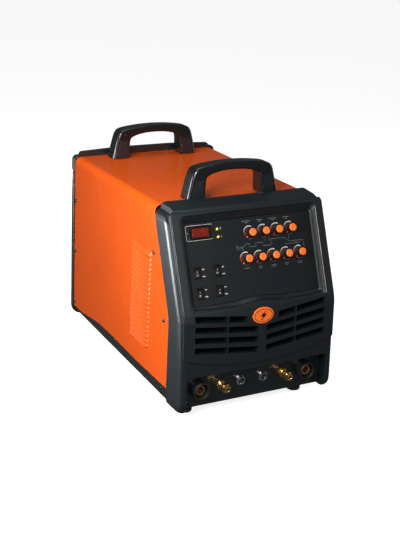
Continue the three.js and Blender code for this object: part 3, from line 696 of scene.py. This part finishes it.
def louvre_patch(side):
    """The louvred field of one side wall: pressed scales with sagging lower lips."""
    columns = [LOUVRE_FRONT - 3, *np.linspace(LOUVRE_FRONT, LOUVRE_REAR, 45), LOUVRE_REAR + 3]
    outer = []
    for y in columns:
        ends = min((y - LOUVRE_FRONT) / 7, (LOUVRE_REAR - y) / 6, 1)
        swell = math.sqrt(max(0, 1 - (1 - max(0, ends)) ** 2))
        line = [(FIELD_HIGH, 0)]
        upper = LOUVRE_TOP
        for i in range(LOUVRES):
            lip = LOUVRE_TOP - 15.2 - i * LOUVRE_PITCH + lip_rise(y)
            line += [(upper + (lip - upper) * t, out * swell) for t, out in LOUVRE_SECTION]
            upper = lip
        line += [(upper, 0), (FIELD_LOW, 0)]
        outer.append([(side * (COVER_HALF + out), y, z) for z, out in line])
    inner = [[(x - side * SHEET, y, z) for x, y, z in row] for row in outer]
    rings = [[*row, *reversed(back)] for row, back in zip(outer, inner)]
    name = "louvres_left" if side < 0 else "louvres_right"
    piece(name, [loft(rings)], ORANGE, angle=60, slot="cover_paint")


def rear_outline(inset):
    half, top = BEZEL_HALF - inset, 413.5 - inset
    right = [(half, 34.5 + inset, 20), (half, 402.6 - inset, 10), (half - 14, 402.8 - inset, 2.5),
             (half - 17.5, 409.4 - inset, 4), (60, top, 60)]
    return fillet([*right, *[(-x, z, r) for x, z, r in reversed(right)]], 5)


def rear_bezel():
    rings = []
    for y, inset in ((COVER_REAR + GAP, 0.4), (COVER_REAR + GAP + 0.4, 0), (REAR_END - 3.4, 0),
                     (REAR_END - 1.6, 0.5), (REAR_END - 0.4, 1.6), (REAR_END, 2.8)):
        rings.append([(x, y, z) for x, z in rear_outline(inset)])
    made = mesh_object("rear_frame", loft(rings))
    narrow = round_box(-147, 147, 64, 378, 14)
    opening = [(round_box(-151, 151, 60, 382, 18), REAR_END + 2), (narrow, 262), (narrow, 240)]
    combine(made, [loft([[(x, y, z) for x, z in outline] for outline, y in opening])])
    soften(made, 0.6, 2, 45)
    dress(made, MOULDING, slot="moulding", replaces="rear_bezel")


# ---- handles ----
HANDLE_DEPTH = 35


def handle_outline():
    outer = [(100, 0), (99, 6), (94, 30), (88.5, 50), (83.5, 58.5), (76, 62.5), (60, 65.5),
             (30, 68.6), (0, 69.6)]
    inner = [(0, 54), (22, 53), (40, 50), (52, 46), (58.5, 40.5), (60.5, 24), (61.7, 0)]
    arch, belly = curve(outer, 3), curve(inner, 3)
    return [*mirrored(arch), *[(-x, z) for x, z in reversed(belly[1:])], *belly]


def handle(name):
    front = span(name)[0].y
    half_depth = HANDLE_DEPTH / 2
    made = mesh_object(name + "_grip", along_y(handle_outline(), 0, HANDLE_DEPTH))
    soften(made, 4.8, 5, 50)
    pads = []
    for side in (-1, 1):
        pad = [(side * 66, 1.2, 0.8), (side * 93, 1.2, 0.8), (side * 84.5, 38, 0.8),
               (side * 66.5, 38, 0.8)]
        pads += [along_y(fillet(pad, 2), -0.7, 1),
                 along_y(fillet(pad, 2), HANDLE_DEPTH - 1, HANDLE_DEPTH + 0.7)]
    plates = mesh_object(name + "_pads", merged(pads))
    soften(plates, 0.45, 2, 50)
    for part in (made, plates):
        for vertex in part.data.vertices:
            lean = 1 - vertex.co.z / MM / 70 * 2.5 / half_depth
            vertex.co.y = (front + half_depth) * MM + (vertex.co.y - half_depth * MM) * lean
            vertex.co.z += (COVER_TOP + GAP) * MM
    dress(made, HANDLE, slot="moulding", replaces=name)
    dress(plates, MOULDING, slot="moulding")


# ---- small hardware ----
def hexagon(flat, steps, reach=math.inf):
    """A hexagon by the distance of its flats, with its corners cut off at a reach."""
    out = []
    for i in range(steps):
        turn = 2 * math.pi * i / steps
        edge = min(flat / math.cos((turn % (math.pi / 3)) - math.pi / 6), reach)
        out.append((edge * math.cos(turn), edge * math.sin(turn)))
    return out


def screw(name, place, radius=4.2, material=GLOSS):
    """A domed screw with a hexagon socket."""
    steps = 24
    socket = hexagon(radius * 0.42 * math.cos(math.pi / 6), steps)
    dome = [(1.0, 0), (1.0, 0.12), (0.94, 0.24), (0.8, 0.38), (0.58, 0.48)]
    rings = [level(circle(0, 0, r * radius, steps), h * radius) for r, h in dome]
    rings += [level(socket, h * radius) for h in (0.48, 0.14)]
    piece(name, [loft(rings)], material, place, angle=30)


def side_fittings():
    """The screws and the black sill stripe on each side wall."""
    rear, low = COVER_REAR - 8, COVER_LOW + 0.2
    spots = [(rear, 303), (rear, 188), (rear, 68), (-134, 307.5), (-186, 188)]
    sill = [(-170, low), (-60, 58.5), (33, 64), (107, 66.3), (128, 65.4), (205, low)]
    pan_spots = [(COVER_HALF, 33, 60.5), (span("base_pan")[1].x, -180, 45)]
    for side, word in ((-1, "left"), (1, "right")):
        for i, (y, z) in enumerate(spots):
            place = facing((side * COVER_HALF, y, z), (side, 0, 0))
            screw(f"cover_screw_{word}_{i + 1}", place)
        stripe = along_x(sill, side * (COVER_HALF - 0.2), side * (COVER_HALF + 0.15))
        piece(f"sill_stripe_{word}", [stripe], PAN, slot="cover_paint")
        for i, (x, y, z) in enumerate(pan_spots):
            screw(f"pan_screw_{word}_{i + 1}", facing((side * x, y, z), (side, 0, 0)), 3.2)


def rubber_foot(i):
    name = f"rubber_foot_{i}"
    at, top = middle(name), span(name)[1].z
    profile = [(0, 0.6), (8, 0.6), (9, 0), (12.6, 0), (13.4, 0.4), (14, 1.6)]
    for k in range(5):
        z = 6 + k * 7
        r = 14.2 + 0.05 * z
        profile += [(r, z), (r - 0.7, z + 0.8), (r - 0.7, z + 1.6), (r, z + 2.4)]
    profile += [(16.5, 42), (16.5, top), (0, top)]
    piece(f"foot_{i}", [turned(profile, 56)], RUBBER, shifted(at.x, at.y), angle=50,
          slot="rubber", replaces=name)


# ---- knobs, switches and meter ----
def knob(name):
    """A fluted knob with a pointer on its skirt and an orange cap, on the joint's own axis."""
    at = pivot(name + "_turn")
    v, h = panel_spot(at)
    rest = 72 if name == "knob_top_2" else 140
    place = on_panel(at.x, v, h - 8 + GAP + 0.1) @ spun(rest)

    def flutes(turn, height):
        fade = max(0, min(1, (height - 2.6) / 1.2, (13.4 - height) / 0.8))
        return -0.28 * fade * (0.5 + 0.5 * math.cos(20 * turn))

    body = [(0, 0), (8.8, 0), (9.2, 0.4), (9.2, 1.3), (8.9, 1.7), (7.9, 2.3), (7.62, 2.8),
            (7.6, 3.8), (7.5, 8), (7.4, 12.6), (7.35, 13.3), (7.0, 13.5), (0, 13.5)]
    piece(name + "_body", [turned(body, 120, flutes)], SATIN, place, angle=50, body=name,
          slot="knob_black", replaces=name)
    cap = [(0, 13.2), (7.25, 13.2), (7.3, 13.5), (7.3, 14.5), (7.1, 15.0), (6.7, 15.25),
           (5.2, 15.4), (5.05, 15.2), (4.8, 15.2), (4.65, 15.42), (2.7, 15.45), (2.55, 15.25),
           (2.3, 15.25), (2.15, 15.45), (0, 15.45)]
    piece(name + "_cap", [turned(cap, 48)], CAP, place, angle=35, body=name, slot="orange_plastic")
    tip = [(-1.0, 8.4, 0.2), (1.0, 8.4, 0.2), (0.75, 12.2, 0.5), (-0.75, 12.2, 0.5)]
    piece(name + "_pointer", [along_z(fillet(tip, 3), 0.3, 2.2)], POINTER, place, (0.2, 2),
          body=name, slot="orange_plastic")


def rocker(i):
    """A rocker in its snap-in housing, with a bar and a ring marked on its two ends."""
    name = f"rocker_{i}"
    at = pivot(name + "_tilt")
    place = on_panel(at.x, panel_spot(at)[0])
    stations = [(7.1, 10, 0.6, -13), (7.1, 10, 0.6, GAP), (8.2, 11.4, 1.2, GAP),
                (8.2, 11.4, 1.2, 1.0), (7.7, 10.9, 1.0, 1.6), (6.2, 9.1, 0.6, 1.7),
                (5.9, 8.8, 0.5, 1.2), (5.9, 8.8, 0.5, -11)]
    rings = [level(round_box(-x, x, -y, y, r, 4), h) for x, y, r, h in stations]
    piece(f"rocker_frame_{i}", [loft(rings)], GLOSS, place, angle=30, slot="switch_black",
          replaces=f"rocker_housing_{i}")

    def dish(y):
        """Height of the paddle's hollow top."""
        return 0.9 + 1.7 * (y / 8.1) ** 2

    top = [(y, dish(y)) for y in np.linspace(-8.1, 8.1, 15)]
    outline = [*top, (8.1, -1.8), (3, -7), (-3, -7), (-8.1, -1.8)]
    tilt = place @ spun(9, "X")
    piece(f"rocker_paddle_{i}", [along_x(outline, -5.5, 5.5)], SATIN, tilt, (0.3, 2), body=name,
          slot="switch_black", replaces=name)

    def lying(shape, y):
        """Lays a flat mark on the paddle's hollow top."""
        points, faces = shape
        return [(a, b + y, c + dish(b + y)) for a, b, c in points], faces

    bar = band([(0, b) for b in np.linspace(-1.5, 1.5, 5)], 0.9, -0.1, 0.12)
    ring = band(circle(0, 0, 1.3, 20), 0.6, -0.1, 0.12, True)
    piece(f"rocker_mark_{i}", [lying(bar, 2.0), lying(ring, -4.2)], PRINT, tilt, body=name,
          slot="switch_black")


def meter():
    place = on_panel(-105.5, 142)
    outer, hole = round_box(-25, 25, -12.5, 12.5, 2.5), round_box(-17.5, 17.5, -8.4, 8.4, 0.8)
    rings = []
    for outline, grow, h in ((outer, 0, GAP), (outer, 0, 1.9), (outer, -0.6, 2.4),
                             (hole, 1.2, 2.4), (hole, 0, 1.4), (hole, 0, GAP)):
        rings.append([(x * (1 + grow / 20), y * (1 + grow / 11), h) for x, y in outline])
    piece("meter_bezel", [loft(rings, True)], GLOSS, place, slot="meter_black", angle=30,
          replaces="display_bezel")
    pane = along_z(round_box(-17.1, 17.1, -8, 8, 0.8), 0.2, 1.3)
    piece("meter_window", [pane], METER_RED, place, (0.2, 2), slot="meter_red",
          replaces="display_window")
    segments = []
    lying = [(-2.5, 0), (-2, -0.62), (2, -0.62), (2.5, 0), (2, 0.62), (-2, 0.62)]
    standing = [(b, a) for a, b in lying]
    parts = [(0, y, lying) for y in (5.4, 0, -5.4)]
    parts += [(x, y, standing) for y in (2.7, -2.7) for x in (-3.2, 3.2)]
    for digit in (-11, 0, 11):
        for dx, dy, bar in parts:
            outline = [(digit + dx + a + 0.1 * (dy + b), dy + b) for a, b in bar]
            segments.append(along_z(outline, 1.2, 1.36))
    piece("meter_segments", segments, SEGMENT, place, slot="meter_red")


def lamps():
    lens = [(0, 0), (2.7, 0), (2.7, 1.4), (2.5, 2.2), (1.9, 3.0), (1.0, 3.5), (0, 3.6)]
    collar = [(2.75, 0), (3.4, 0), (3.4, 0.7), (3.1, 1.0), (2.75, 1.0), (2.75, 0)]
    for i in (1, 2):
        at = middle(f"indicator_lamp_{i}")
        place = on_panel(at.x, panel_spot(at)[0], GAP)
        piece(f"lamp_lens_{i}", [turned(lens, 32)], LAMP, place, slot="lamp_yellow",
              replaces=f"indicator_lamp_{i}")
        piece(f"lamp_collar_{i}", [turned(collar, 32)], GLOSS, place, slot="meter_black")


# ---- printing on the panel ----
INK_LOW, INK_HIGH = -0.05, 0.12
KNOB_TOP_X, KNOB_TOP_V = (-1, 29, 59, 89), 131
KNOB_LOW_X, KNOB_LOW_V = (-16, 14, 44, 74, 104), 82.5
ROCKER_SPOTS = ((-123, 68), (-81, 68), (-123, 30), (-81, 30))


def ink(path, width, loop=False):
    return band(path, width, INK_LOW, INK_HIGH, loop)


def caption(x, v, strokes, size):
    """A row of short plain bars, centred on a point, in place of a printed caption."""
    gap = 0.7
    start = x - (sum(strokes) + gap * (len(strokes) - 1)) / 2
    bars = []
    for length in strokes:
        bars.append(ink([(start, v), (start + length, v)], size))
        start += length + gap
    return bars


def scale_arc(x, v):
    """A crescent that grows clockwise from nine o'clock."""
    path = arc(x, v, 12.6, 172, 62, 28)
    widths = [0.35 + 2.1 * math.sin(math.pi * min(1, (i / 28) ** 1.5 * 0.62)) for i in range(27)]
    return ink(path, [*widths, 1.5, 0.8])


def panel_print():
    lines, faint, red = [], [], []
    lines.append(ink(round_box(-135.3, -79.7, 128, 156, 3), 0.65, True))
    lines.append(ink([(-132.6, 142.8), (-131.2, 142.8)], 1.3))
    for v in (146, 130.3):
        lines.append(ink([(-62.4, v - 1.6), (-61.6, v + 1.6)], 1.0))
    for x, v in ROCKER_SPOTS:
        lines += caption(x + 13.4, v + 5.6, (2.2, 1.6), 1.9)
        lines += caption(x + 13.2, v - 7.4, (3.0, 2.0), 1.9)
    rows = [(x, KNOB_TOP_V) for x in KNOB_TOP_X] + [(x, KNOB_LOW_V) for x in KNOB_LOW_X]
    for x, v in rows:
        lines.append(scale_arc(x, v))
        red.append(ink(arc(x, v, 10.4, 205, 128, 12), 0.55))
        faint += [ink(arc(x, v, 11.9, turn - 4, turn + 4, 2), 1.1) for turn in (254, 272, 292)]
    for i, x in enumerate(KNOB_TOP_X):
        faint += caption(x - 5, 153.5, (4.2, 3.2, 4.6, 3.0)[: 4 - i % 2], 1.3)
        faint += caption(x - 4, 150.6 - 0.1 * i, (3.0, 2.4), 1.2)
    for i, x in enumerate(KNOB_LOW_X):
        faint += caption(x, 64.5, (3.6, 4.2, 2.4)[: 3 - i % 2], 1.3)
        if i:
            faint += caption(x, 61.6, (3.2, 2.4, 3.4)[: 3 - i % 2], 1.2)
    faint += cycle_diagram()
    tones = {"light": (lines, PRINT), "grey": (faint, FAINT), "red": (red, POINTER)}
    for tone, (marks, material) in tones.items():
        piece(f"panel_print_{tone}", marks, material, on_panel(0, 0), slot="panel_face")


def cycle_diagram():
    """The current against time drawn between the two rows of knobs."""
    start, base = -33, 104
    spark = [(start + i * 1.4, base + (5.5 - i * 0.5) * (-1) ** i) for i in range(9)]
    wave = [(-20, base), (-12, base + 6), (-4, base + 6), (-4, base), (10, base), (10, base + 6),
            (26, base + 6), (26, base - 1), (44, base - 1), (44, base + 10), (70, base + 10),
            (76.6, base + 8.6), (86.7, base + 1.5), (117, base + 1.4), (118, base - 10.8)]
    leader = [(-20, base), (-20, KNOB_LOW_V + 15)]
    side = [(74.8, base - 3), (110, base - 3), (111.2, base - 1.2)]
    drops = [[(x, KNOB_TOP_V - 14), (x, base + 7)] for x in (31, 40, 85.5)]
    return [ink(path, 0.7) for path in (spark, wave, leader, side, *drops)]


def bay_print():
    marks = []
    for x, strokes in ((-70, (2.4, 3.0)), (-CONTROL_X, (2.0, 1.4, 2.0)), (CONTROL_X, (2.6, 2.4)),
                       (70, (3.0, 2.2))):
        marks += caption(x, 77.6, strokes, 1.3)
    piece("bay_print", marks, FAINT, at_front(0, BAY_BACK, 0), slot="panel_face")
    screw("bay_screw", at_front(-138.7, BAY_BACK, 32), 3.4)


# ---- sockets ----
def nut(across, z0, z1, chamfer=0.8):
    """A hexagon nut with its corners turned off at one end."""
    corner = across / math.sqrt(3)
    stations = ((z0, 1), (z1 - chamfer, 1), (z1, 0.9))
    return loft([level(hexagon(across / 2, 36, corner * share), z) for z, share in stations])


def thread(radius, z0, z1, pitch, depth=0.35):
    """Profile points of a screw thread drawn as fine ridges."""
    turns = int((z1 - z0) / pitch)
    out = []
    for i in range(turns):
        z = z0 + i * pitch
        out += [(radius - depth, z), (radius, z + pitch / 2)]
    return [*out, (radius - depth, z0 + turns * pitch)]


def current_socket(side, place):
    collar = [(10.8, 0), (17.2, 0), (17.85, 0.6), (17.85, 18.6), (17.6, 19.6), (17.0, 20.3),
              (16.2, 20.6), (15.0, 20.5), (14.4, 20.1), (14.2, 19.4), (14.2, 4), (10.8, 4),
              (10.8, 0)]
    rib = block(13.4, 14.6, -0.7, 0.7, 4, 15)
    ribs = [moved(rib, spun(30 * i)) for i in range(12)]
    piece(f"current_socket_collar_{side}", [turned(collar, 72), *ribs], INSULATOR, place, angle=30,
          slot="insulator", replaces=f"dinse_insulator_{side}")
    brass = [(0, -14), (9.6, -14), (9.6, 11.2), (9.9, 11.6), (9.9, 12.2), (9.5, 12.9), (8.9, 13.05),
             (7.3, 12.7), (6.8, 12.0), (6.6, 11.0), (6.6, -6), (0, -6)]
    made = mesh_object(f"current_socket_contact_{side}", turned(brass, 64), place)
    combine(made, [moved(block(-2, 2, 5.8, 8.2, -3, 20), place)])
    dress(made, BRASS, 30, slot="brass", replaces=f"dinse_insert_{side}")
    floor = [(0, -5.9), (6.5, -5.9), (6.5, 9.6), (6.3, 9.9), (6.15, 9.6), (6.15, -4.6), (2.4, -4.4),
             (1.2, -2), (0, -1.6)]
    piece(f"current_socket_bore_{side}", [turned(floor, 48)], COPPER, place, angle=30, slot="brass")


def coupler(side, place):
    stem = [(0, 6), (6.0, 6), (7.4, 7.2), (7.4, 8.4), (6.2, 9.2), (6.2, 24.6), (5.4, 25.6),
            (5.4, 26.8), (6.0, 27.6), (6.6, 28.4), (6.6, 31.0), (6.2, 31.6), (5.4, 31.9),
            (3.6, 31.9), (3.1, 31.4), (2.9, 30.6), (2.9, 16), (0, 15)]
    piece(f"coupler_stem_{side}", [turned(stem, 56)], BRASS, place, angle=30, slot="brass",
          replaces=f"coupler_body_{side}")
    piece(f"coupler_nut_{side}", [nut(17.6, 0, 6.6)], BRASS, place, (0.25, 2), slot="brass")

    def knurl(turn, height):
        return 0.22 * math.sin(30 * turn) if 14.6 < height < 17.6 or 21.9 < height < 25.2 else 0

    ring = [(6.7, 14.1), (8.2, 14.1), (8.6, 14.5), (8.6, 17.7), (8.2, 18.2), (7.7, 19.0),
            (7.6, 20.0), (7.9, 21.2), (8.6, 21.8), (8.6, 25.2), (8.2, 25.6), (6.7, 25.6),
            (6.7, 14.1)]
    fine = []
    for a, b in zip(ring, ring[1:]):
        parts = 3 if abs(b[1] - a[1]) > 2 and a[0] > 8 else 1
        fine += [(a[0] + (b[0] - a[0]) * k / parts, a[1] + (b[1] - a[1]) * k / parts)
                 for k in range(parts)]
    piece(f"coupler_ring_{side}", [turned([*fine, ring[0]], 120, knurl)], BRASS, place, angle=35,
          body=f"coupler_collar_{side}", slot="brass", replaces=f"coupler_collar_{side}")


def control_socket(side, place):
    ring = [(8.0, 0), (9.3, 0), (9.7, 0.4), (9.7, 2.9), (9.3, 3.3), (8.0, 3.3), (8.0, 0)]
    barrel = [(6.2, 0.2), (7.9, 0.2), *thread(8.0, 3.0, 6.6, 0.9), (7.5, 7.1), (6.9, 7.2),
              (6.5, 7.0), (6.2, 6.6), (6.2, 0.2)]
    piece(f"control_socket_shell_{side}", [turned(ring, 60), turned(barrel, 60)], NICKEL, place,
          angle=25, slot="bright_nickel", replaces=f"control_socket_{side}")
    face = [(0, 0.2), (6.1, 0.2), (6.1, 4.4), (5.8, 4.7), (0, 4.7)]
    piece(f"control_socket_face_{side}", [turned(face, 48)], SATIN, place, slot="insulator")
    pin = [(0, 4.2), (0.85, 4.2), (0.85, 6.2), (0.6, 6.6), (0, 6.7)]
    pins = [moved(turned(pin, 16), shifted(2.9 * math.cos(t), 2.9 * math.sin(t)))
            for t in (math.radians(90), math.radians(210), math.radians(330))]
    key = block(-0.9, 0.9, 5.2, 6.3, 4.2, 6.4)
    piece(f"control_socket_pins_{side}", [*pins, key], NICKEL, place, slot="bright_nickel")


# ---- rear fittings ----
REAR_FACE = span("rear_panel")[1].y + GAP


def behind(node, y=REAR_FACE):
    """The placing for a fitting on the rear panel, in line with its CAD node."""
    at = middle(node)
    return at_rear(at.x, y, at.z)


def fan_guard():
    place = behind("fan_guard", span("fan_guard")[0].y)
    corners = (45, 135, 225, 315)

    def wire(radius, height):
        around = circle(radius, height, 1.15, 12)
        return turned([*around, around[0]], 72)

    hoops = [wire(r, 4.4) for r in (14, 26, 38, 50, 62, 74)]
    arms = []
    lug = [(0, 0), (5, 0), (5, 1.8), (0, 1.8)]
    tube = [[(r, *p) for p in circle(0, h, 1.3, 12)]
            for r, h in ((12, 2.4), (70, 2.4), (80, 2.2), (86, 1.6), (90, 1.4))]
    for turn in corners:
        arms += [moved(loft(tube), spun(turn)), moved(turned(lug, 24), spun(turn) @ shifted(91))]
    piece("fan_guard_wires", [*hoops, *arms], ZINC, place, angle=35, slot="steel",
          replaces="fan_guard")
    for i, turn in enumerate(corners):
        screw(f"fan_screw_{i + 1}", place @ spun(turn) @ shifted(91, 0, 1.8), 3.4, ZINC)


def mains_switch():
    name = "mains_switch_knob"
    seat = behind(name)
    case_depth = span("mains_switch_body")[0].y - REAR_FACE
    plate = [along_z(round_box(-24, 24, -24, 24, 3), 0, 4),
             block(-20, 20, -20, 20, case_depth, -2),
             turned([(0, -3), (7, -3), (7, 1), (0, 1)], 32)]
    piece("switch_plate", plate, SATIN, seat, (0.6, 2), slot="switch_black",
          replaces="mains_switch_body")
    place = behind(name, span(name)[0].y)
    disc = turned([(0, 0), (16.6, 0), (17, 0.4), (17, 2.2), (15.8, 3.2), (0, 3.2)], 64)
    lever = fillet([(-4.2, -15, 3), (4.2, -15, 3), (3.2, 15, 3), (-3.2, 15, 3)], 4)
    piece("switch_dial", [disc], SWITCH_RED, place, body=name, slot="switch_red", replaces=name)
    piece("switch_grip", [along_z(lever, 2.4, 12.6)], SWITCH_RED, place, (0.9, 3), body=name,
          slot="switch_red")
    line = band([(0, 4), (0, 13)], 1.2, 12.4, 12.55)
    piece("switch_line", [line], PRINT, place, body=name, slot="switch_red")
    ticks = [band([(19.5 * math.sin(t), 19.5 * math.cos(t)), (22 * math.sin(t), 22 * math.cos(t))],
                  1.1, 3.9, 4.12) for t in (0, math.pi / 2)]
    piece("switch_ticks", ticks, PRINT, seat, slot="switch_black")


def rear_connections():
    spud = [(0, 5), (6.6, 5.6), *thread(6.4, 7, 14, 1.2), (5.4, 15.4), (4.6, 16.2), (3.4, 16.2),
            (3.0, 15.6), (3.0, 5), (0, 4.8)]
    piece("gas_spud", [turned(spud, 48), nut(15.8, 0, 6.0)], BRASS, behind("gas_inlet"),
          angle=30, slot="brass", replaces="gas_inlet")

    def grips(turn, height):
        return 0.35 * math.sin(18 * turn) if 6 < height < 12.4 else 0

    dome = [(6.5, -1), (12, -1), (12, 5.5), (14, 6.2), (14.1, 8), (14.1, 10.5), (14.0, 12),
            (13.2, 14), (11.8, 15.6), (9.5, 16.4), (7.2, 16.4), (6.5, 15.8), (6.5, -1)]
    piece("gland_dome", [turned(dome, 108, grips)], INSULATOR, behind("cable_gland"), angle=35,
          slot="insulator", replaces="cable_gland")
    piece("gland_nut", [nut(27.6, 0, 5.4, 1.2)], INSULATOR, behind("cable_gland"), angle=30,
          slot="insulator")
    bolt = [(0, 0), (3.9, 0), *thread(4, 6, 14, 1.0, 0.4), (3.0, 15.3), (0, 15.4)]
    washer = turned([(0, 0), (7.4, 0), (7.4, 1.2), (0, 1.2)], 40)
    piece("earth_bolt", [turned(bolt, 40), nut(13, 1.2, 6.4), washer], ZINC,
          behind("earth_stud"), angle=30, slot="steel", replaces="earth_stud")
    corners = [(x, z) for z in (72, 370, 220) for x in (-140, 140)]
    for i, (x, z) in enumerate(corners):
        screw(f"rear_screw_{i + 1}", at_rear(x, REAR_FACE - GAP, z), 3.6)


# ---- assembly ----
fascia_shell()
fascia_mask()
grille_shade_pad()
badge()
outer_cover()
louvre_patch(-1)
louvre_patch(1)
rear_bezel()
handle("handle_front")
handle("handle_rear")
side_fittings()
for foot in range(1, 5):
    rubber_foot(foot)
for body_name in [name for name in frame["bodies"] if name.startswith("knob_")]:
    knob(body_name)
for number in range(1, 5):
    rocker(number)
meter()
lamps()
panel_print()
bay_print()
for side_name, sign in (("left", -1), ("right", 1)):
    for fit, x_out in ((current_socket, CURRENT_X), (coupler, COUPLER_X),
                       (control_socket, CONTROL_X)):
        fit(side_name, at_front(sign * x_out, BAY_BACK - GAP, SOCKET_Z))
fan_guard()
mains_switch()
rear_connections()


# ---- floor, light and camera ----
def plain_floor():
    reach = 30
    shape = level([(-reach, -reach), (reach, -reach), (reach, reach), (-reach, reach)], -0.0005)
    mesh = bpy.data.meshes.new("floor")
    mesh.from_pydata(shape, [], [(0, 1, 2, 3)])
    floor = put("floor", mesh)
    pale = finish("pale_floor", (0.9, 0.9, 0.9), 0.6, 2, (0, 1400), shift=0.01, specular=0.1)
    tune(pale.node_tree.nodes["Principled BSDF"], Emission_Color=(1, 1, 1, 1),
         Emission_Strength=0.85)
    mesh.materials.append(pale)
    floor.visible_glossy = floor.visible_diffuse = False


def aimed(name, data, at, ahead, roll=0.0):
    """A light or a camera that looks ahead, rolled by an angle in radians."""
    made = put(name, data)
    made.location = at
    made.rotation_mode = "QUATERNION"
    turn = Matrix.Rotation(roll, 3, "Z").to_quaternion()
    made.rotation_quaternion = ahead.to_track_quat("-Z", "Y") @ turn
    return made


def softbox(name, at, aim, size, power, tint=(1, 1, 1)):
    lamp = bpy.data.lights.new(name, "AREA")
    lamp.shape, lamp.size, lamp.size_y = "RECTANGLE", *size
    lamp.energy, lamp.color = power, tint
    return aimed(name, lamp, at, Vector(aim) - Vector(at))


def studio():
    world = bpy.data.worlds.new("studio")
    bpy.context.scene.world = world
    world.use_nodes = True
    nodes, link = world.node_tree.nodes, world.node_tree.links.new
    shown, lit = nodes["Background"], nodes.new("ShaderNodeBackground")
    warm, cool = (1, 0.96, 0.9), (0.92, 0.96, 1)
    tune(shown, Color=(1, 1, 1, 1), Strength=1.0)
    tune(lit, Color=(*cool, 1), Strength=0.1)
    path, mix = nodes.new("ShaderNodeLightPath"), nodes.new("ShaderNodeMixShader")
    link(path.outputs["Is Camera Ray"], mix.inputs[0])
    link(lit.outputs[0], mix.inputs[1])
    link(shown.outputs[0], mix.inputs[2])
    link(mix.outputs[0], nodes["World Output"].inputs["Surface"])
    key = softbox("key", (-0.8, -0.6, 0.68), (-0.14, -0.15, 0.3), (0.5, 0.5), 22, (1, 0.97, 0.8))
    key.visible_glossy = False
    spark = softbox("spark", (-0.45, -1.3, 0.8), (0, -0.27, 0.08), (0.3, 0.3), 18, warm)
    spark.visible_diffuse = False
    softbox("top", (-0.2, -0.1, 1.9), (0, 0, 0.3), (1.2, 1.2), 9)
    rear = softbox("rear", (0.4, 1.6, 0.15), (0, 0.27, 0.25), (0.8, 0.3), 12)
    rear.visible_glossy = False
    softbox("fill", (2.2, -0.5, 0.7), (0, 0, 0.2), (1.2, 1.2), 8, cool)
    gleam = softbox("gleam", (-1.2, 0.4, 0.3), (-0.17, -0.2, 0.3), (0.65, 0.56), 24, cool)
    gleam.visible_camera = gleam.visible_diffuse = False
    bpy.context.scene.view_settings.view_transform = "Standard"


def camera():
    """Seen from the front left and above, through a long lens."""
    data = bpy.data.cameras.new("camera")
    data.lens, data.sensor_width = 72.35, 36
    data.shift_x, data.shift_y = -0.00507, 0.00357
    azimuth, elevation, roll = math.radians(-29.56), math.radians(19.54), math.radians(2.97)
    out = math.cos(elevation)
    back = Vector((math.sin(azimuth) * out, -math.cos(azimuth) * out, math.sin(elevation)))
    made = aimed("camera", data, (-1.0348, -1.8489, 0.9603), -back, roll)
    bpy.context.scene.camera = made


plain_floor()
studio()
camera()
